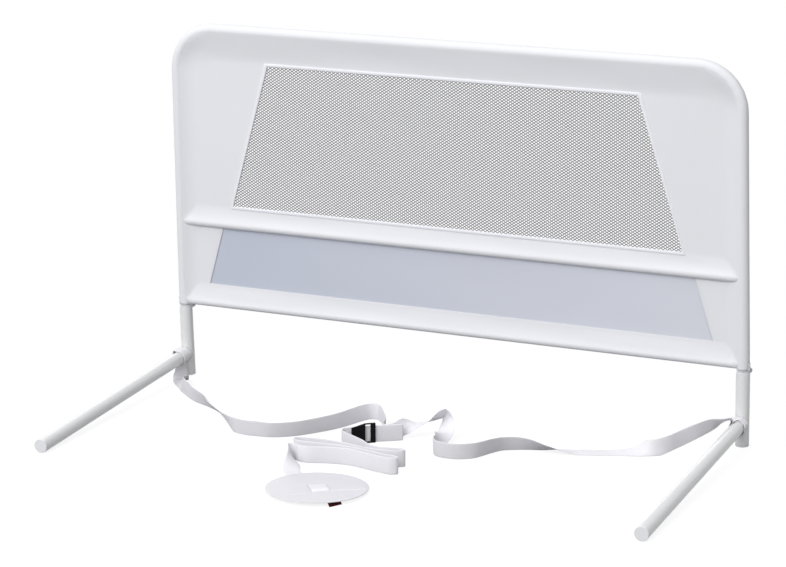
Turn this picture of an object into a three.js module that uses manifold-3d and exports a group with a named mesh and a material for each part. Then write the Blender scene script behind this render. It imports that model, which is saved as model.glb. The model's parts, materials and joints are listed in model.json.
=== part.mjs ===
// A folding bed guard rail. A cloth-covered guard stands on two short posts and folds down behind
// them on a hinge at each seam. Two arms lie under the mattress, and webbing on the arms, with a
// buckle and a round plate on its end, anchors the rail to the far side of the mattress.
// Millimetres, +Z up, +X to the right seen from the mattress, +Y away from the mattress.

import * as THREE from "three";
import { mergeGeometries, mergeVertices } from "three/addons/utils/BufferGeometryUtils.js";
import Module from "manifold-3d";

const wasm = await Module();
wasm.setup();

// Clearances
const seatGap = 0.3;
const hingePlay = 0.3;
const slidePlay = 0.4;
const cutOverrun = 2;
const groundGap = 0.3;
const weldDistance = 0.0001;

// Facets round a turned or drawn shape
const postSides = 24;
const frameSides = 16;
const barSides = 16;
const pinSides = 16;
const discSides = 48;
const boltHeadSides = 6;
const cornerSteps = 7;

// Posts below the seams
const postSpacing = 1064;
const postRadius = 12;
const postWall = 1;
const seamHeight = 130.7;
const capFlange = 3;
const capPlugLength = 12;

// Arms under the mattress: the tips lie a little higher than the roots
const armHeight = 41.1;
const armReach = 524.9;
const armRise = 4.2;
const armRadius = 12;
const armWall = 1;
const insertLength = 42;
const boltRadius = 3;
const boltReach = 34;
const boltHeadRadius = 6;
const boltHeadHeight = 3.2;
const boltHoleDepth = 36;

// Bent tube of the guard: upright at the feet, then leaning inward to the top rail
const frameRadius = 10;
const frameWall = 1;
const topAxisHeight = 655.4;
const cornerRadius = 77;
const taperStart = 165;
const taperIn = 9.97;

// Cross bars in their pockets
const barRadius = 8;
const barWall = 1;
const middleBarHeight = 298;
const hemBarHeight = 145.9;
const pegRadius = 3;
const plugFlange = 2;
const plugLength = 10;

// Cover, windows and net
const sleeveCloth = 0.6;
const panelCloth = 1.2;
const pocketCloth = 0.8;
const netTopBorder = 57.4;
const netTopInset = 186;
const netAboveBar = 32;
const netBottomInset = 106;
const netTop = topAxisHeight - netTopBorder;
const netTopHalfWidth = postSpacing / 2 - netTopInset;
const netBottom = middleBarHeight + netAboveBar;
const netBottomHalfWidth = postSpacing / 2 - netBottomInset;
const netPitch = 42;
const netStrand = 6;
const netThickness = 0.8;
const netMargin = 6;
const bindingOutside = 4;
const bindingInside = 3;
const bindingThickness = 0.8;
const lowerUnderBar = 14;
const lowerTopInset = 84;
const lowerAboveHem = 35.1;
const lowerBottomInset = 53;
const lowerTop = middleBarHeight - lowerUnderBar;
const lowerTopHalfWidth = postSpacing / 2 - lowerTopInset;
const lowerBottom = hemBarHeight + lowerAboveHem;
const lowerBottomHalfWidth = postSpacing / 2 - lowerBottomInset;
const lowerCloth = 0.6;
const lowerMargin = 3.5;

// Hinges behind the posts
const pivotSetback = 16;
const seamGap = 0.3;
const collarFlange = 4;
const collarSleeve = 20;
const collarWall = 1.4;
const socketFlange = 2.6;
const socketLength = 26.4;
const tongueHalfWidth = 5;
const tongueDepth = 18;
const knuckleRadius = 4.5;
const middleKnuckle = 8;
const outerKnuckle = 4.7;
const hingePinRadius = 2;
const pinHeadRadius = 3.2;
const pinHead = 1.5;

// Release buttons above the seams
const buttonAboveSeam = 12;
const buttonWidth = 7;
const buttonHeight = 12;
const buttonProud = 1.9;
const buttonTravel = 4;
const shoulderWidth = 8.4;
const shoulderHeight = 13.4;
const shoulderOuter = 7.2;
const shoulderInner = 2.2;
const ribCount = 4;
const ribDepth = 0.7;
const ribWidth = 1.1;
const springRadius = 1.8;
const springWire = 0.7;
const springBoreRadius = 2.6;
const springBoreDepth = 5;
const springTurns = 5;
const springStepsPerTurn = 8;
const springSides = 5;

// Webbing
const webbingWidth = 29;
const webbingThickness = 1.4;
const loopClearance = 0.3;
const loopStart = 13;

// Buckle and its doubled band, standing on edge on the ground
const buckleEnd = [-42.6, -241.7];
const buckleTurn = -141.8;
const buckleFoot = 0.5;
const buckleHeight = 35;
const buckleThickness = 3;
const barWidth = 8.5;
const windowWidth = 9.3;
const buckleFrame = 2;
const tabLength = 24;
const tabTipHeight = 22;
const bandLength = 65.8;
const bandBehindBar = 17;
const bandThickness = 3.1;
const bandTurn = -3.2;

// Round plate on the end of the webbing, its near side propped up by the webbing's end
const discRadius = 84;
const discRim = 1.6;
const discCrown = 3.2;
const discCentre = [-23.7, -511.4, 4.2];
const discTurn = 37.8;
const discTilt = 1.8;
const discTiltAxis = [-0.9135, -0.4068, 0];
const slotLength = 31;
const slotWidth = 4;
const slotNear = 26;
const slotFar = 7;
const labelWidth = 23;
const labelThickness = 0.8;

// Places on the ground, seen from above: the lower edge and the upper edge of the webbing.
// They follow the webbing as it lies, from the left arm to the right arm.
const crossStrapRoute = [
  [[-532, -43, 25.1], [-532, -14, 26.7]],
  [[-536, -44, 17], [-535, -15, 17]],
  [[-540, -46, 8], [-538, -18, 10]],
  [[-537, -53, 2], [-533, -26, 4]],
  [[-526, -67, 1], [-519, -41, 6]],
  [[-512, -84, 1], [-503, -61, 15]],
  [[-486, -113, 1], [-478, -99, 24]],
  [[-453, -143, 1], [-442, -148, 27]],
  [[-430, -157, 1], [-415, -169, 22]],
  [[-400, -172, 1], [-387, -194, 15]],
  [[-372, -191, 1], [-360, -215, 13]],
  [[-329, -236, 1], [-321, -258, 18]],
  [[-292, -286, 1], [-290, -295, 28]],
  [[-270, -294, 1], [-265, -302, 28]],
  [[-244, -298, 1], [-241, -304, 29]],
  [[-222, -294, 1], [-219, -299, 29]],
  [[-190, -274, 1], [-187, -280, 29]],
  [[-155, -234, 1], [-153, -239, 30]],
  [[-132, -195, 1], [-131, -195, 30]],
  [[-121, -167, 1], [-122, -164, 30]],
  [[-112, -139, 1], [-113, -137, 30]],
  [[-104, -125, 1], [-104, -124, 30]],
  [[-94, -122, 1], [-94, -121, 30]],
  [[-84, -131, 1], [-84, -130, 30]],
  [[-66, -157, 1], [-66, -156, 30]],
  [[-50, -184, 1], [-50, -183, 30]],
  [[-42, -206, 1], [-42, -206, 30]],
  [[-38, -221, 1], [-38, -221, 30]],
  [[-32, -227, 1], [-32, -227, 30]],
  [[-24, -221, 1], [-25, -221, 30]],
  [[-15, -214, 3], [-17, -210, 31]],
  [[-6, -207, 9], [-11, -192, 33]],
  [[3, -201, 15], [-7, -177, 28]],
  [[12, -195, 20], [0, -169, 22]],
  [[25, -187, 27], [14, -161, 22]],
  [[35, -180, 35], [26, -156, 23]],
  [[42, -175, 43], [34, -154, 25]],
  [[50, -170, 50], [41, -152, 28]],
  [[59, -166, 52], [45, -150, 31]],
  [[66, -165, 42], [44, -152, 27]],
  [[72, -171, 29], [45, -165, 21]],
  [[76, -182, 17], [49, -188, 14]],
  [[77, -200, 9], [53, -209, 22]],
  [[74, -222, 3], [61, -230, 28]],
  [[71, -241, 1], [69, -245, 29]],
  [[72, -257, 1], [72, -260, 30]],
  [[80, -268, 1], [81, -271, 29]],
  [[94, -273, 1], [95, -277, 29]],
  [[114, -273, 1], [116, -277, 29]],
  [[132, -265, 1], [134, -269, 29]],
  [[145, -253, 1], [147, -258, 29]],
  [[153, -236, 1], [156, -243, 29]],
  [[161, -214, 1], [165, -222, 28]],
  [[172, -195, 1], [176, -205, 27]],
  [[188, -184, 1], [194, -193, 27]],
  [[209, -174, 1], [218, -188, 25]],
  [[236, -164, 1], [248, -186, 17]],
  [[259, -153, 2], [273, -177, 8]],
  [[286, -141, 1], [299, -167, 1]],
  [[321, -127, 1], [330, -154, 1]],
  [[355, -113, 3], [367, -140, 1]],
  [[379, -107, 10], [392, -131, 1]],
  [[402, -113, 22], [412, -115, 1]],
  [[425, -98, 34], [436, -94, 8]],
  [[447, -89, 40], [453, -79, 14]],
  [[467, -74, 48], [470, -62, 23]],
  [[483, -60, 56], [485, -46, 33]],
  [[497, -48, 60], [499, -30, 47]],
  [[514, -42, 57], [511, -16, 51]],
  [[525, -42.7, 53.4], [525, -14, 55]],
];

// From behind the buckle's tab, round the folded runs, under the plate's rim and through its slots
const tailStrapRoute = [
  [[-58.4, -250.8, 1], [-58.4, -250.8, 30]],
  [[-69.4, -259.5, 1], [-69.4, -259.5, 30]],
  [[-78.4, -266.6, 1], [-78.4, -266.6, 30]],
  [[-86, -275, 1], [-86, -275, 30]],
  [[-85, -286, 1], [-85, -286, 30]],
  [[-75, -294, 1], [-75, -294, 30]],
  [[-57, -305, 1], [-57, -305, 30]],
  [[-30, -322, 1], [-30, -322, 30]],
  [[-10, -338, 1], [-10, -338, 30]],
  [[12, -344, 1], [12, -344, 30]],
  [[36, -339, 1], [36, -339, 30]],
  [[51, -337, 1], [51, -337, 30]],
  [[57, -343, 1], [57, -343, 30]],
  [[49, -350, 1], [49, -350, 30]],
  [[30, -355, 1], [30, -355, 30]],
  [[0, -357, 1], [0, -357, 30]],
  [[-40, -350, 1], [-40, -350, 30]],
  [[-80, -344, 1], [-80, -344, 30]],
  [[-115, -346, 1], [-115, -346, 30]],
  [[-134, -351, 1], [-134, -351, 30]],
  [[-140, -358, 1], [-140, -358, 30]],
  [[-132, -365, 1], [-132, -365, 30]],
  [[-105, -367, 1], [-105, -367, 30]],
  [[-70, -363, 1], [-70, -363, 30]],
  [[-30, -364, 1], [-30, -364, 30]],
  [[5, -370, 1], [5, -370, 30]],
  [[35, -376, 1], [35, -376, 30]],
  [[55, -379, 1], [55, -379, 30]],
  [[63, -385, 1], [63, -385, 30]],
  [[55, -391, 1], [55, -391, 30]],
  [[35, -390, 1], [35, -390, 30]],
  [[5, -383, 1], [5, -383, 30]],
  [[-30, -376, 1], [-30, -376, 30]],
  [[-70, -382, 1], [-70, -382, 30]],
  [[-108, -398, 1], [-108, -398, 30]],
  [[-132, -404, 3], [-133, -396, 31]],
  [[-146, -414, 5], [-138, -396, 27]],
  [[-143, -431, 2], [-127, -408, 8]],
  [[-126, -450, 1], [-111, -425, 1]],
  [[-105, -467, 1], [-95, -440, 1]],
  [[-84, -479, 1], [-72, -452, 1]],
  [[-62, -493, 1.2], [-45, -469, 1.2]],
  [[-46.8, -505.3, 2.5], [-23.9, -487.5, 2.3]],
  [[-41.9, -511.6, 2.6], [-19, -493.9, 2.4]],
  [[-40.2, -513.8, 3.2], [-17.3, -496.1, 2.9]],
  [[-39.6, -514.6, 4.7], [-16.7, -496.8, 4.5]],
  [[-39.5, -514.7, 6.2], [-16.6, -496.9, 6]],
  [[-38.9, -515.4, 8], [-16, -497.6, 7.8]],
  [[-37.3, -517.5, 8.8], [-14.4, -499.7, 8.6]],
  [[-29.4, -527.7, 9.3], [-6.5, -509.9, 9.1]],
  [[-21.5, -537.8, 9.6], [1.4, -520.1, 9.4]],
  [[-19.8, -540, 9], [3.1, -522.2, 8.8]],
  [[-19.3, -540.8, 7.2], [3.7, -523, 7]],
  [[-19.1, -541, 5.7], [3.8, -523.2, 5.5]],
  [[-18.5, -541.8, 4.2], [4.4, -524, 4]],
  [[-16.8, -544, 3.6], [6.2, -526.3, 3.4]],
  [[-13.7, -548, 2.8], [9.2, -530.2, 2.6]],
  [[-8.8, -554.4, 1.2], [14.2, -536.6, 1]],
];

// From under the plate's rim down to the ground
const labelRoute = [
  [[25.4, -574, 5.9], [40, -558.5, 5.7]],
  [[28.5, -577, 3.4], [42.2, -560.4, 3.2]],
  [[31, -578.4, 1], [43.9, -561.8, 1]],
];

// Sizes that follow from the ones above
const postX = postSpacing / 2;
const postBore = postRadius - postWall;
const armBore = armRadius - armWall;
const frameBore = frameRadius - frameWall;
const barBore = barRadius - barWall;
const halfPanel = panelCloth / 2;
const sleeveBore = frameRadius + seatGap;
const sleeveRadius = sleeveBore + sleeveCloth;
const pocketBore = barRadius + seatGap;
const pocketRadius = pocketBore + pocketCloth;
const hemBottom = hemBarHeight - pocketRadius;
const buttonCentre = seamHeight + buttonAboveSeam;
const pivotHeight = seamHeight + seamGap / 2;
const armLength = Math.hypot(armReach, armRise);
const armTilt = Math.asin(armRise / armLength);
const flatShare = Math.cos(Math.PI / postSides);

// Solids and cuts

// Signed volume of a triangle mesh: negative where its faces point inward.
function signedVolume(points, corners) {
  let sum = 0;
  const [a, b, c] = [new THREE.Vector3(), new THREE.Vector3(), new THREE.Vector3()];
  for (let at = 0; at < corners.length; at += 3) {
    a.fromArray(points, corners[at] * 3);
    b.fromArray(points, corners[at + 1] * 3);
    c.fromArray(points, corners[at + 2] * 3);
    sum += a.dot(b.cross(c));
  }
  return sum;
}

// A solid from a closed geometry, with shared corners merged and its faces turned outward.
function solid(geometry) {
  const bare = geometry.clone();
  bare.deleteAttribute("normal");
  bare.deleteAttribute("uv");
  const merged = mergeVertices(bare, weldDistance);
  const points = Float32Array.from(merged.attributes.position.array);
  const source = merged.index.array;
  const kept = [];
  for (let at = 0; at < source.length; at += 3) {
    const [i, j, k] = [source[at], source[at + 1], source[at + 2]];
    if (i !== j && j !== k && k !== i) {
      kept.push(i, j, k);
    }
  }
  if (signedVolume(points, kept) < 0) {
    for (let at = 0; at < kept.length; at += 3) {
      [kept[at], kept[at + 1]] = [kept[at + 1], kept[at]];
    }
  }
  const mesh = new wasm.Mesh({ numProp: 3, vertProperties: points, triVerts: Uint32Array.from(kept) });
  return new wasm.Manifold(mesh);
}

function joined(...geometries) {
  return geometries.map(solid).reduce((whole, part) => whole.add(part));
}

function cut(body, ...geometries) {
  return geometries.map(solid).reduce((whole, part) => whole.subtract(part), body);
}

function shared(body, ...geometries) {
  return geometries.map(solid).reduce((whole, part) => whole.intersect(part), body);
}

function geometryOf(body) {
  const mesh = body.getMesh();
  const geometry = new THREE.BufferGeometry();
  geometry.setAttribute("position", new THREE.BufferAttribute(mesh.vertProperties, 3));
  geometry.setIndex(new THREE.BufferAttribute(mesh.triVerts, 1));
  geometry.computeVertexNormals();
  return geometry;
}

// Straight shapes

// A round rod along X, Y or Z, with flats facing along the axes.
function rod(axis, radius, from, to, sides) {
  const length = Math.abs(to - from);
  const middle = (from + to) / 2;
  const geometry = new THREE.CylinderGeometry(radius, radius, length, sides, 1, false, Math.PI / sides);
  if (axis === "x") {
    return geometry.rotateZ(-Math.PI / 2).translate(middle, 0, 0);
  }
  if (axis === "z") {
    return geometry.rotateX(Math.PI / 2).translate(0, 0, middle);
  }
  return geometry.translate(0, middle, 0);
}

function block(x, y, z) {
  const low = new THREE.Vector3(Math.min(...x), Math.min(...y), Math.min(...z));
  const high = new THREE.Vector3(Math.max(...x), Math.max(...y), Math.max(...z));
  const size = high.clone().sub(low);
  const middle = high.add(low).multiplyScalar(0.5);
  return new THREE.BoxGeometry(size.x, size.y, size.z).translate(middle.x, middle.y, middle.z);
}

// A solid turned round Z from an outline of radius and height that starts and ends on the axis.
function turned(outline, sides) {
  const points = outline.map(([radius, height]) => new THREE.Vector2(radius, height));
  return new THREE.LatheGeometry(points, sides, Math.PI / sides).rotateX(Math.PI / 2);
}

// A flat piece in the plane of the panel, from one y to another. Its outline is drawn in x and z.
function sheetPiece(outline, holes, yLow, yHigh) {
  const shape = new THREE.Shape(outline.map(([x, z]) => new THREE.Vector2(x, z)));
  for (const hole of holes) {
    shape.holes.push(new THREE.Path(hole.map(([x, z]) => new THREE.Vector2(x, z))));
  }
  const depth = yHigh - yLow;
  const geometry = new THREE.ExtrudeGeometry(shape, { depth, bevelEnabled: false });
  return geometry.rotateX(Math.PI / 2).translate(0, yHigh, 0);
}

// Bent tubes

// A run in the plane of the panel, given by its stations, each with a point and a direction.
class BentRun extends THREE.Curve {
  constructor(stations) {
    super();
    this.stations = stations;
  }

  getPoint(share) {
    return this.stations[Math.round(share * (this.stations.length - 1))].point.clone();
  }

  getSpacedPoints() {
    return this.stations.map((station) => station.point.clone());
  }

  computeFrenetFrames() {
    const tangents = this.stations.map((station) => station.direction.clone());
    const normals = tangents.map(() => new THREE.Vector3(0, 1, 0));
    const binormals = tangents.map((tangent, at) => tangent.clone().cross(normals[at]));
    return { tangents, normals, binormals };
  }
}

// Stations along a run of corners, each an x, a z and the radius that rounds it.
function bentStations(corners) {
  const places = corners.map(([x, z]) => new THREE.Vector3(x, 0, z));
  const stations = [];
  const up = new THREE.Vector3(0, 1, 0);
  places.forEach((place, at) => {
    const before = places[at - 1];
    const after = places[at + 1];
    if (!before || !after) {
      const direction = before ? place.clone().sub(before) : after.clone().sub(place);
      stations.push({ point: place.clone(), direction: direction.normalize() });
      return;
    }
    const comes = place.clone().sub(before).normalize();
    const goes = after.clone().sub(place).normalize();
    const turn = comes.angleTo(goes);
    const radius = corners[at][2];
    if (!radius) {
      stations.push({ point: place.clone(), direction: comes.add(goes).normalize() });
      return;
    }
    const sense = Math.sign(comes.clone().cross(goes).y);
    const start = place.clone().addScaledVector(comes, -radius * Math.tan(turn / 2));
    const inward = comes.clone().applyAxisAngle(up, (sense * Math.PI) / 2);
    const centre = start.clone().addScaledVector(inward, radius);
    for (let step = 0; step <= cornerSteps; step += 1) {
      const angle = (sense * turn * step) / cornerSteps;
      const arm = start.clone().sub(centre).applyAxisAngle(up, angle);
      stations.push({ point: centre.clone().add(arm), direction: comes.clone().applyAxisAngle(up, angle) });
    }
  });
  return stations;
}

// The guard's outline from one foot round to the other, with its feet at a given height.
function guardStations(footHeight) {
  const topX = postX - taperIn;
  return bentStations([
    [-postX, footHeight],
    [-postX, taperStart],
    [-topX, topAxisHeight, cornerRadius],
    [topX, topAxisHeight, cornerRadius],
    [postX, taperStart],
    [postX, footHeight],
  ]);
}

function roundSection(radius, sides) {
  const corners = Array.from({ length: sides }, (_, side) => {
    const angle = ((side + 0.5) * 2 * Math.PI) / sides;
    return new THREE.Vector2(radius * Math.cos(angle), radius * Math.sin(angle));
  });
  return new THREE.Shape(corners);
}

function bentRod(stations, radius) {
  const extrudePath = new BentRun(stations);
  const steps = stations.length - 1;
  return new THREE.ExtrudeGeometry(roundSection(radius, frameSides), { steps, extrudePath });
}

// x of the right leg's axis at a height
function legX(height) {
  const share = Math.max(0, (height - taperStart) / (topAxisHeight - taperStart));
  return postX - taperIn * share;
}

// Webbing: a flat band through stations that each give its two edges, closed at both ends. Both
// faces are split along the same diagonals, so that they stay parallel where the band twists.
function webbing(route, width, thickness) {
  const middles = route.map(([a, b]) => new THREE.Vector3(...a).add(new THREE.Vector3(...b)).divideScalar(2));
  const across = route.map(([a, b]) => new THREE.Vector3(...b).sub(new THREE.Vector3(...a)).normalize());
  const last = route.length - 1;
  const points = [];
  middles.forEach((middle, at) => {
    const along = middles[Math.min(at + 1, last)].clone().sub(middles[Math.max(at - 1, 0)]);
    along.addScaledVector(across[at], -along.dot(across[at]));
    const through = along.cross(across[at]).setLength(thickness / 2);
    const half = across[at].clone().setLength(width / 2);
    const ring = [[-1, -1], [1, -1], [1, 1], [-1, 1]].map(([side, face]) => {
      return middle.clone().addScaledVector(half, side).addScaledVector(through, face);
    });
    const lift = Math.max(0, groundGap - Math.min(...ring.map((corner) => corner.z)));
    for (const corner of ring) {
      points.push(corner.x, corner.y, corner.z + lift);
    }
  });
  const index = [];
  for (let at = 0; at < last; at += 1) {
    for (let side = 0; side < 4; side += 1) {
      const a = at * 4 + side;
      const b = at * 4 + ((side + 1) % 4);
      const [c, d] = [b + 4, a + 4];
      if (side === 2) {
        index.push(a, b, d, b, c, d);
      } else {
        index.push(a, b, c, a, c, d);
      }
    }
  }
  const end = last * 4;
  index.push(0, 2, 1, 0, 3, 2, end, end + 1, end + 2, end, end + 2, end + 3);
  const geometry = new THREE.BufferGeometry();
  geometry.setAttribute("position", new THREE.Float32BufferAttribute(points, 3));
  geometry.setIndex(index);
  return geometry;
}

// Finishes
const finishes = {
  enamel: { color: 0xe9eaec, roughness: 0.32, metalness: 0.1 },
  bareSteel: { color: 0xa9adb2, roughness: 0.35, metalness: 0.9 },
  whiteMoulding: { color: 0xe4e6e8, roughness: 0.45, metalness: 0 },
  cloth: { color: 0xe0e0e6, roughness: 0.9, metalness: 0 },
  binding: { color: 0xf6f6fa, roughness: 0.85, metalness: 0 },
  net: { color: 0xd4d3dc, roughness: 0.9, metalness: 0 },
  windowCloth: { color: 0xbfc3d2, roughness: 0.85, metalness: 0 },
  webbing: { color: 0xe6e5ee, roughness: 0.85, metalness: 0 },
  blackMoulding: { color: 0x121216, roughness: 0.4, metalness: 0 },
  plate: { color: 0xeceaf0, roughness: 0.4, metalness: 0 },
  label: { color: 0x3c0a12, roughness: 0.8, metalness: 0 },
};

function piece(parent, name, body, finish) {
  const mesh = new THREE.Mesh(geometryOf(body), new THREE.MeshStandardMaterial(finishes[finish]));
  mesh.name = name;
  parent.add(mesh);
  return mesh;
}

// The scene graph: what stands upright leans a little, because the arms' tips rest on the ground
const rail = new THREE.Group();
const upright = new THREE.Group();
const onGround = new THREE.Group();
rail.add(upright, onGround);

const footEdge = postRadius * flatShare;
const armEdge = armRadius * flatShare;
const tipHeight = armHeight + armRise - armEdge * Math.cos(armTilt);
const tipReach = armReach + armEdge * Math.sin(armTilt);
const lean = Math.atan2(tipHeight, tipReach - footEdge);
upright.rotation.x = lean;
upright.position.z = footEdge * Math.sin(lean);

// Guard frame tube, with holes for the bars' pegs and for the release buttons
const frameFoot = seamHeight + seamGap + socketFlange + seatGap;

function guardFrameTube() {
  const pegHole = pegRadius + seatGap;
  const cutters = [bentRod(guardStations(frameFoot - cutOverrun), frameBore)];
  for (const side of [-1, 1]) {
    for (const height of [hemBarHeight, middleBarHeight]) {
      const from = side * (legX(height) - frameRadius - cutOverrun);
      const to = side * (legX(height) - frameBore + cutOverrun);
      cutters.push(rod("x", pegHole, from, to, pinSides).translate(0, 0, height));
    }
    const x = [side * postX, side * (postX + frameRadius + cutOverrun)];
    const halfWidth = buttonWidth / 2 + seatGap;
    const halfHeight = buttonHeight / 2 + seatGap;
    const z = [buttonCentre - halfHeight, buttonCentre + halfHeight];
    cutters.push(block(x, [-halfWidth, halfWidth], z));
  }
  return cut(solid(bentRod(guardStations(frameFoot), frameRadius)), ...cutters);
}

piece(upright, "guard_frame_tube", guardFrameTube(), "enamel");

// Cross bars and their end plugs
const barRows = [
  ["middle_bar", middleBarHeight],
  ["bottom_bar", hemBarHeight],
];

function barEnd(height) {
  return legX(height) - frameRadius - seatGap - plugFlange - seatGap;
}

function crossBar(height) {
  const end = barEnd(height);
  const outer = solid(rod("x", barRadius, -end, end, barSides));
  return cut(outer, rod("x", barBore, -end - cutOverrun, end + cutOverrun, barSides));
}

// Outward along Z: the plug in the bar, the flange at the bar's end and the peg in the leg
function barPlug(height) {
  const flangeStart = seatGap;
  const flangeEnd = flangeStart + plugFlange;
  const pegEnd = legX(height) - frameBore - barEnd(height);
  const outline = [
    [0, -plugLength],
    [barBore - seatGap, -plugLength],
    [barBore - seatGap, flangeStart],
    [barRadius, flangeStart],
    [barRadius, flangeEnd],
    [pegRadius, flangeEnd],
    [pegRadius, pegEnd],
    [0, pegEnd],
  ];
  return solid(turned(outline, barSides));
}

for (const [name, height] of barRows) {
  piece(upright, name, crossBar(height), "bareSteel").position.z = height;
  for (const [word, side] of [["left", -1], ["right", 1]]) {
    const plug = piece(upright, `${name}_plug_${word}`, barPlug(height), "whiteMoulding");
    plug.position.set(side * barEnd(height), 0, height);
    plug.rotation.y = (side * Math.PI) / 2;
  }
}

// Fabric cover: a sleeve over the bent tube, the panel, and a pocket round each bar
function trapezoid(top, topHalf, bottom, bottomHalf, grow) {
  return [
    [-bottomHalf - grow, bottom - grow],
    [bottomHalf + grow, bottom - grow],
    [topHalf + grow, top + grow],
    [-topHalf - grow, top + grow],
  ];
}

function netOutline(grow) {
  return trapezoid(netTop, netTopHalfWidth, netBottom, netBottomHalfWidth, grow);
}

function lowerOutline(grow) {
  return trapezoid(lowerTop, lowerTopHalfWidth, lowerBottom, lowerBottomHalfWidth, grow);
}

function fabricCover() {
  const run = guardStations(hemBottom);
  const inner = run.slice(1, -1).map(({ point }) => [point.x, point.z]);
  const panelOutline = [[-postX, hemBarHeight], ...inner, [postX, hemBarHeight]];
  const windows = [netOutline(0), lowerOutline(0)];
  const panel = sheetPiece(panelOutline, windows, -halfPanel, halfPanel);
  const pockets = barRows.map(([, height]) => {
    return rod("x", pocketRadius, -legX(height), legX(height), barSides).translate(0, 0, height);
  });
  const pocketBores = barRows.map(([, height]) => {
    return rod("x", pocketBore, -legX(height), legX(height), barSides).translate(0, 0, height);
  });
  const bore = bentRod(guardStations(hemBottom - cutOverrun), sleeveBore);
  const notches = [-1, 1].map((side) => {
    const halfWidth = buttonWidth / 2 + seatGap + seatGap;
    const top = buttonCentre + buttonHeight / 2 + seatGap + seatGap;
    const x = [side * postX, side * (postX + sleeveRadius + cutOverrun)];
    return block(x, [-halfWidth, halfWidth], [hemBottom - cutOverrun, top]);
  });
  const outer = joined(bentRod(run, sleeveRadius), panel, ...pockets);
  return cut(outer, bore, ...pocketBores, ...notches);
}

piece(upright, "fabric_cover", fabricCover(), "cloth");

// Net in the upper window: rows of diamond gaps, each row half a pitch across from the last
function netGaps() {
  const reach = netPitch / 2 - netStrand * Math.SQRT1_2;
  const gaps = [];
  const rows = Math.floor((netTop - netBottom) / (netPitch / 2));
  const columns = Math.ceil(netBottomHalfWidth / netPitch);
  for (let row = 1; row < rows; row += 1) {
    const z = netBottom + (row * netPitch) / 2;
    const share = (z + reach - netBottom) / (netTop - netBottom);
    const limit = netBottomHalfWidth + (netTopHalfWidth - netBottomHalfWidth) * share - netStrand;
    for (let column = -columns; column <= columns; column += 1) {
      const x = (column + (row % 2) / 2) * netPitch;
      if (Math.abs(x) + reach < limit) {
        gaps.push([[x - reach, z], [x, z - reach], [x + reach, z], [x, z + reach]]);
      }
    }
  }
  return gaps;
}

const netFront = halfPanel + seatGap;

function meshWindow() {
  const back = netFront + netThickness;
  const gaps = netGaps().map((gap) => sheetPiece(gap, [], netFront - cutOverrun, back + cutOverrun));
  return cut(solid(sheetPiece(netOutline(netMargin), [], netFront, back)), mergeGeometries(gaps));
}

piece(upright, "mesh_window", meshWindow(), "net");

const bindingBack = -halfPanel - seatGap;
const bindingFront = bindingBack - bindingThickness;
const binding = sheetPiece(netOutline(bindingOutside), [netOutline(-bindingInside)], bindingFront, bindingBack);
piece(upright, "mesh_binding", solid(binding), "binding");

const lowerSheet = sheetPiece(lowerOutline(lowerMargin), [], netFront, netFront + lowerCloth);
piece(upright, "lower_window", solid(lowerSheet), "windowCloth");

// Hinge parts, in the frame of one post: the post's axis is Z, and side is 1 or -1 outward along X
const boltHole = boltRadius + seatGap;
const knuckleStart = middleKnuckle / 2 + hingePlay;
const knuckleEnd = knuckleStart + outerKnuckle;
const collarTop = seamHeight;
const collarBottom = collarTop - collarFlange;
const collarRadius = postBore - seatGap;
const collarBore = collarRadius - collarWall;
const socketBottom = seamHeight + seamGap;
const socketTop = socketBottom + socketLength + socketFlange;

function atPivot(geometry) {
  return geometry.translate(0, pivotSetback, pivotHeight);
}

function pinBore() {
  const end = knuckleEnd + cutOverrun;
  return atPivot(rod("x", hingePinRadius + hingePlay, -end, end, pinSides));
}

function hingeCollar() {
  const knuckles = [-1, 1].flatMap((side) => {
    const x = [side * knuckleStart, side * knuckleEnd];
    const round = atPivot(rod("x", knuckleRadius, x[0], x[1], postSides));
    return [round, block(x, [collarBore, pivotSetback], [collarBottom, collarTop])];
  });
  const flange = rod("z", postRadius, collarBottom, collarTop, postSides);
  const sleeve = rod("z", collarRadius, collarBottom - collarSleeve, collarTop, postSides);
  const whole = joined(flange, sleeve, ...knuckles);
  const bore = rod("z", collarBore, collarBottom - collarSleeve - cutOverrun, collarTop + cutOverrun, postSides);
  const relief = atPivot(rod("x", knuckleRadius + hingePlay, -knuckleStart, knuckleStart, postSides));
  return cut(whole, bore, relief, pinBore());
}

// The tongue drops into the collar. Its front is rounded about the pivot, so that it swings clear.
function hingeTongue() {
  const halfDepth = Math.sqrt((collarBore * flatShare) ** 2 - tongueHalfWidth ** 2) - hingePlay;
  const x = [-tongueHalfWidth, tongueHalfWidth];
  const z = [socketBottom - tongueDepth, socketBottom + socketFlange];
  const swing = pivotSetback + halfDepth;
  const sweep = atPivot(rod("x", swing, -tongueHalfWidth - cutOverrun, tongueHalfWidth + cutOverrun, discSides));
  return shared(solid(block(x, [-halfDepth, halfDepth], z)), sweep);
}

const plugRadius = frameBore - seatGap;
const cavityInner = shoulderInner - buttonTravel - hingePlay - slidePlay;

function buttonCavity(side) {
  const halfWidth = shoulderWidth / 2 + slidePlay;
  const halfHeight = shoulderHeight / 2 + slidePlay;
  const x = [side * cavityInner, side * (frameRadius + cutOverrun)];
  const z = [buttonCentre - halfHeight, buttonCentre + halfHeight];
  return block(x, [-halfWidth, halfWidth], z);
}

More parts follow.
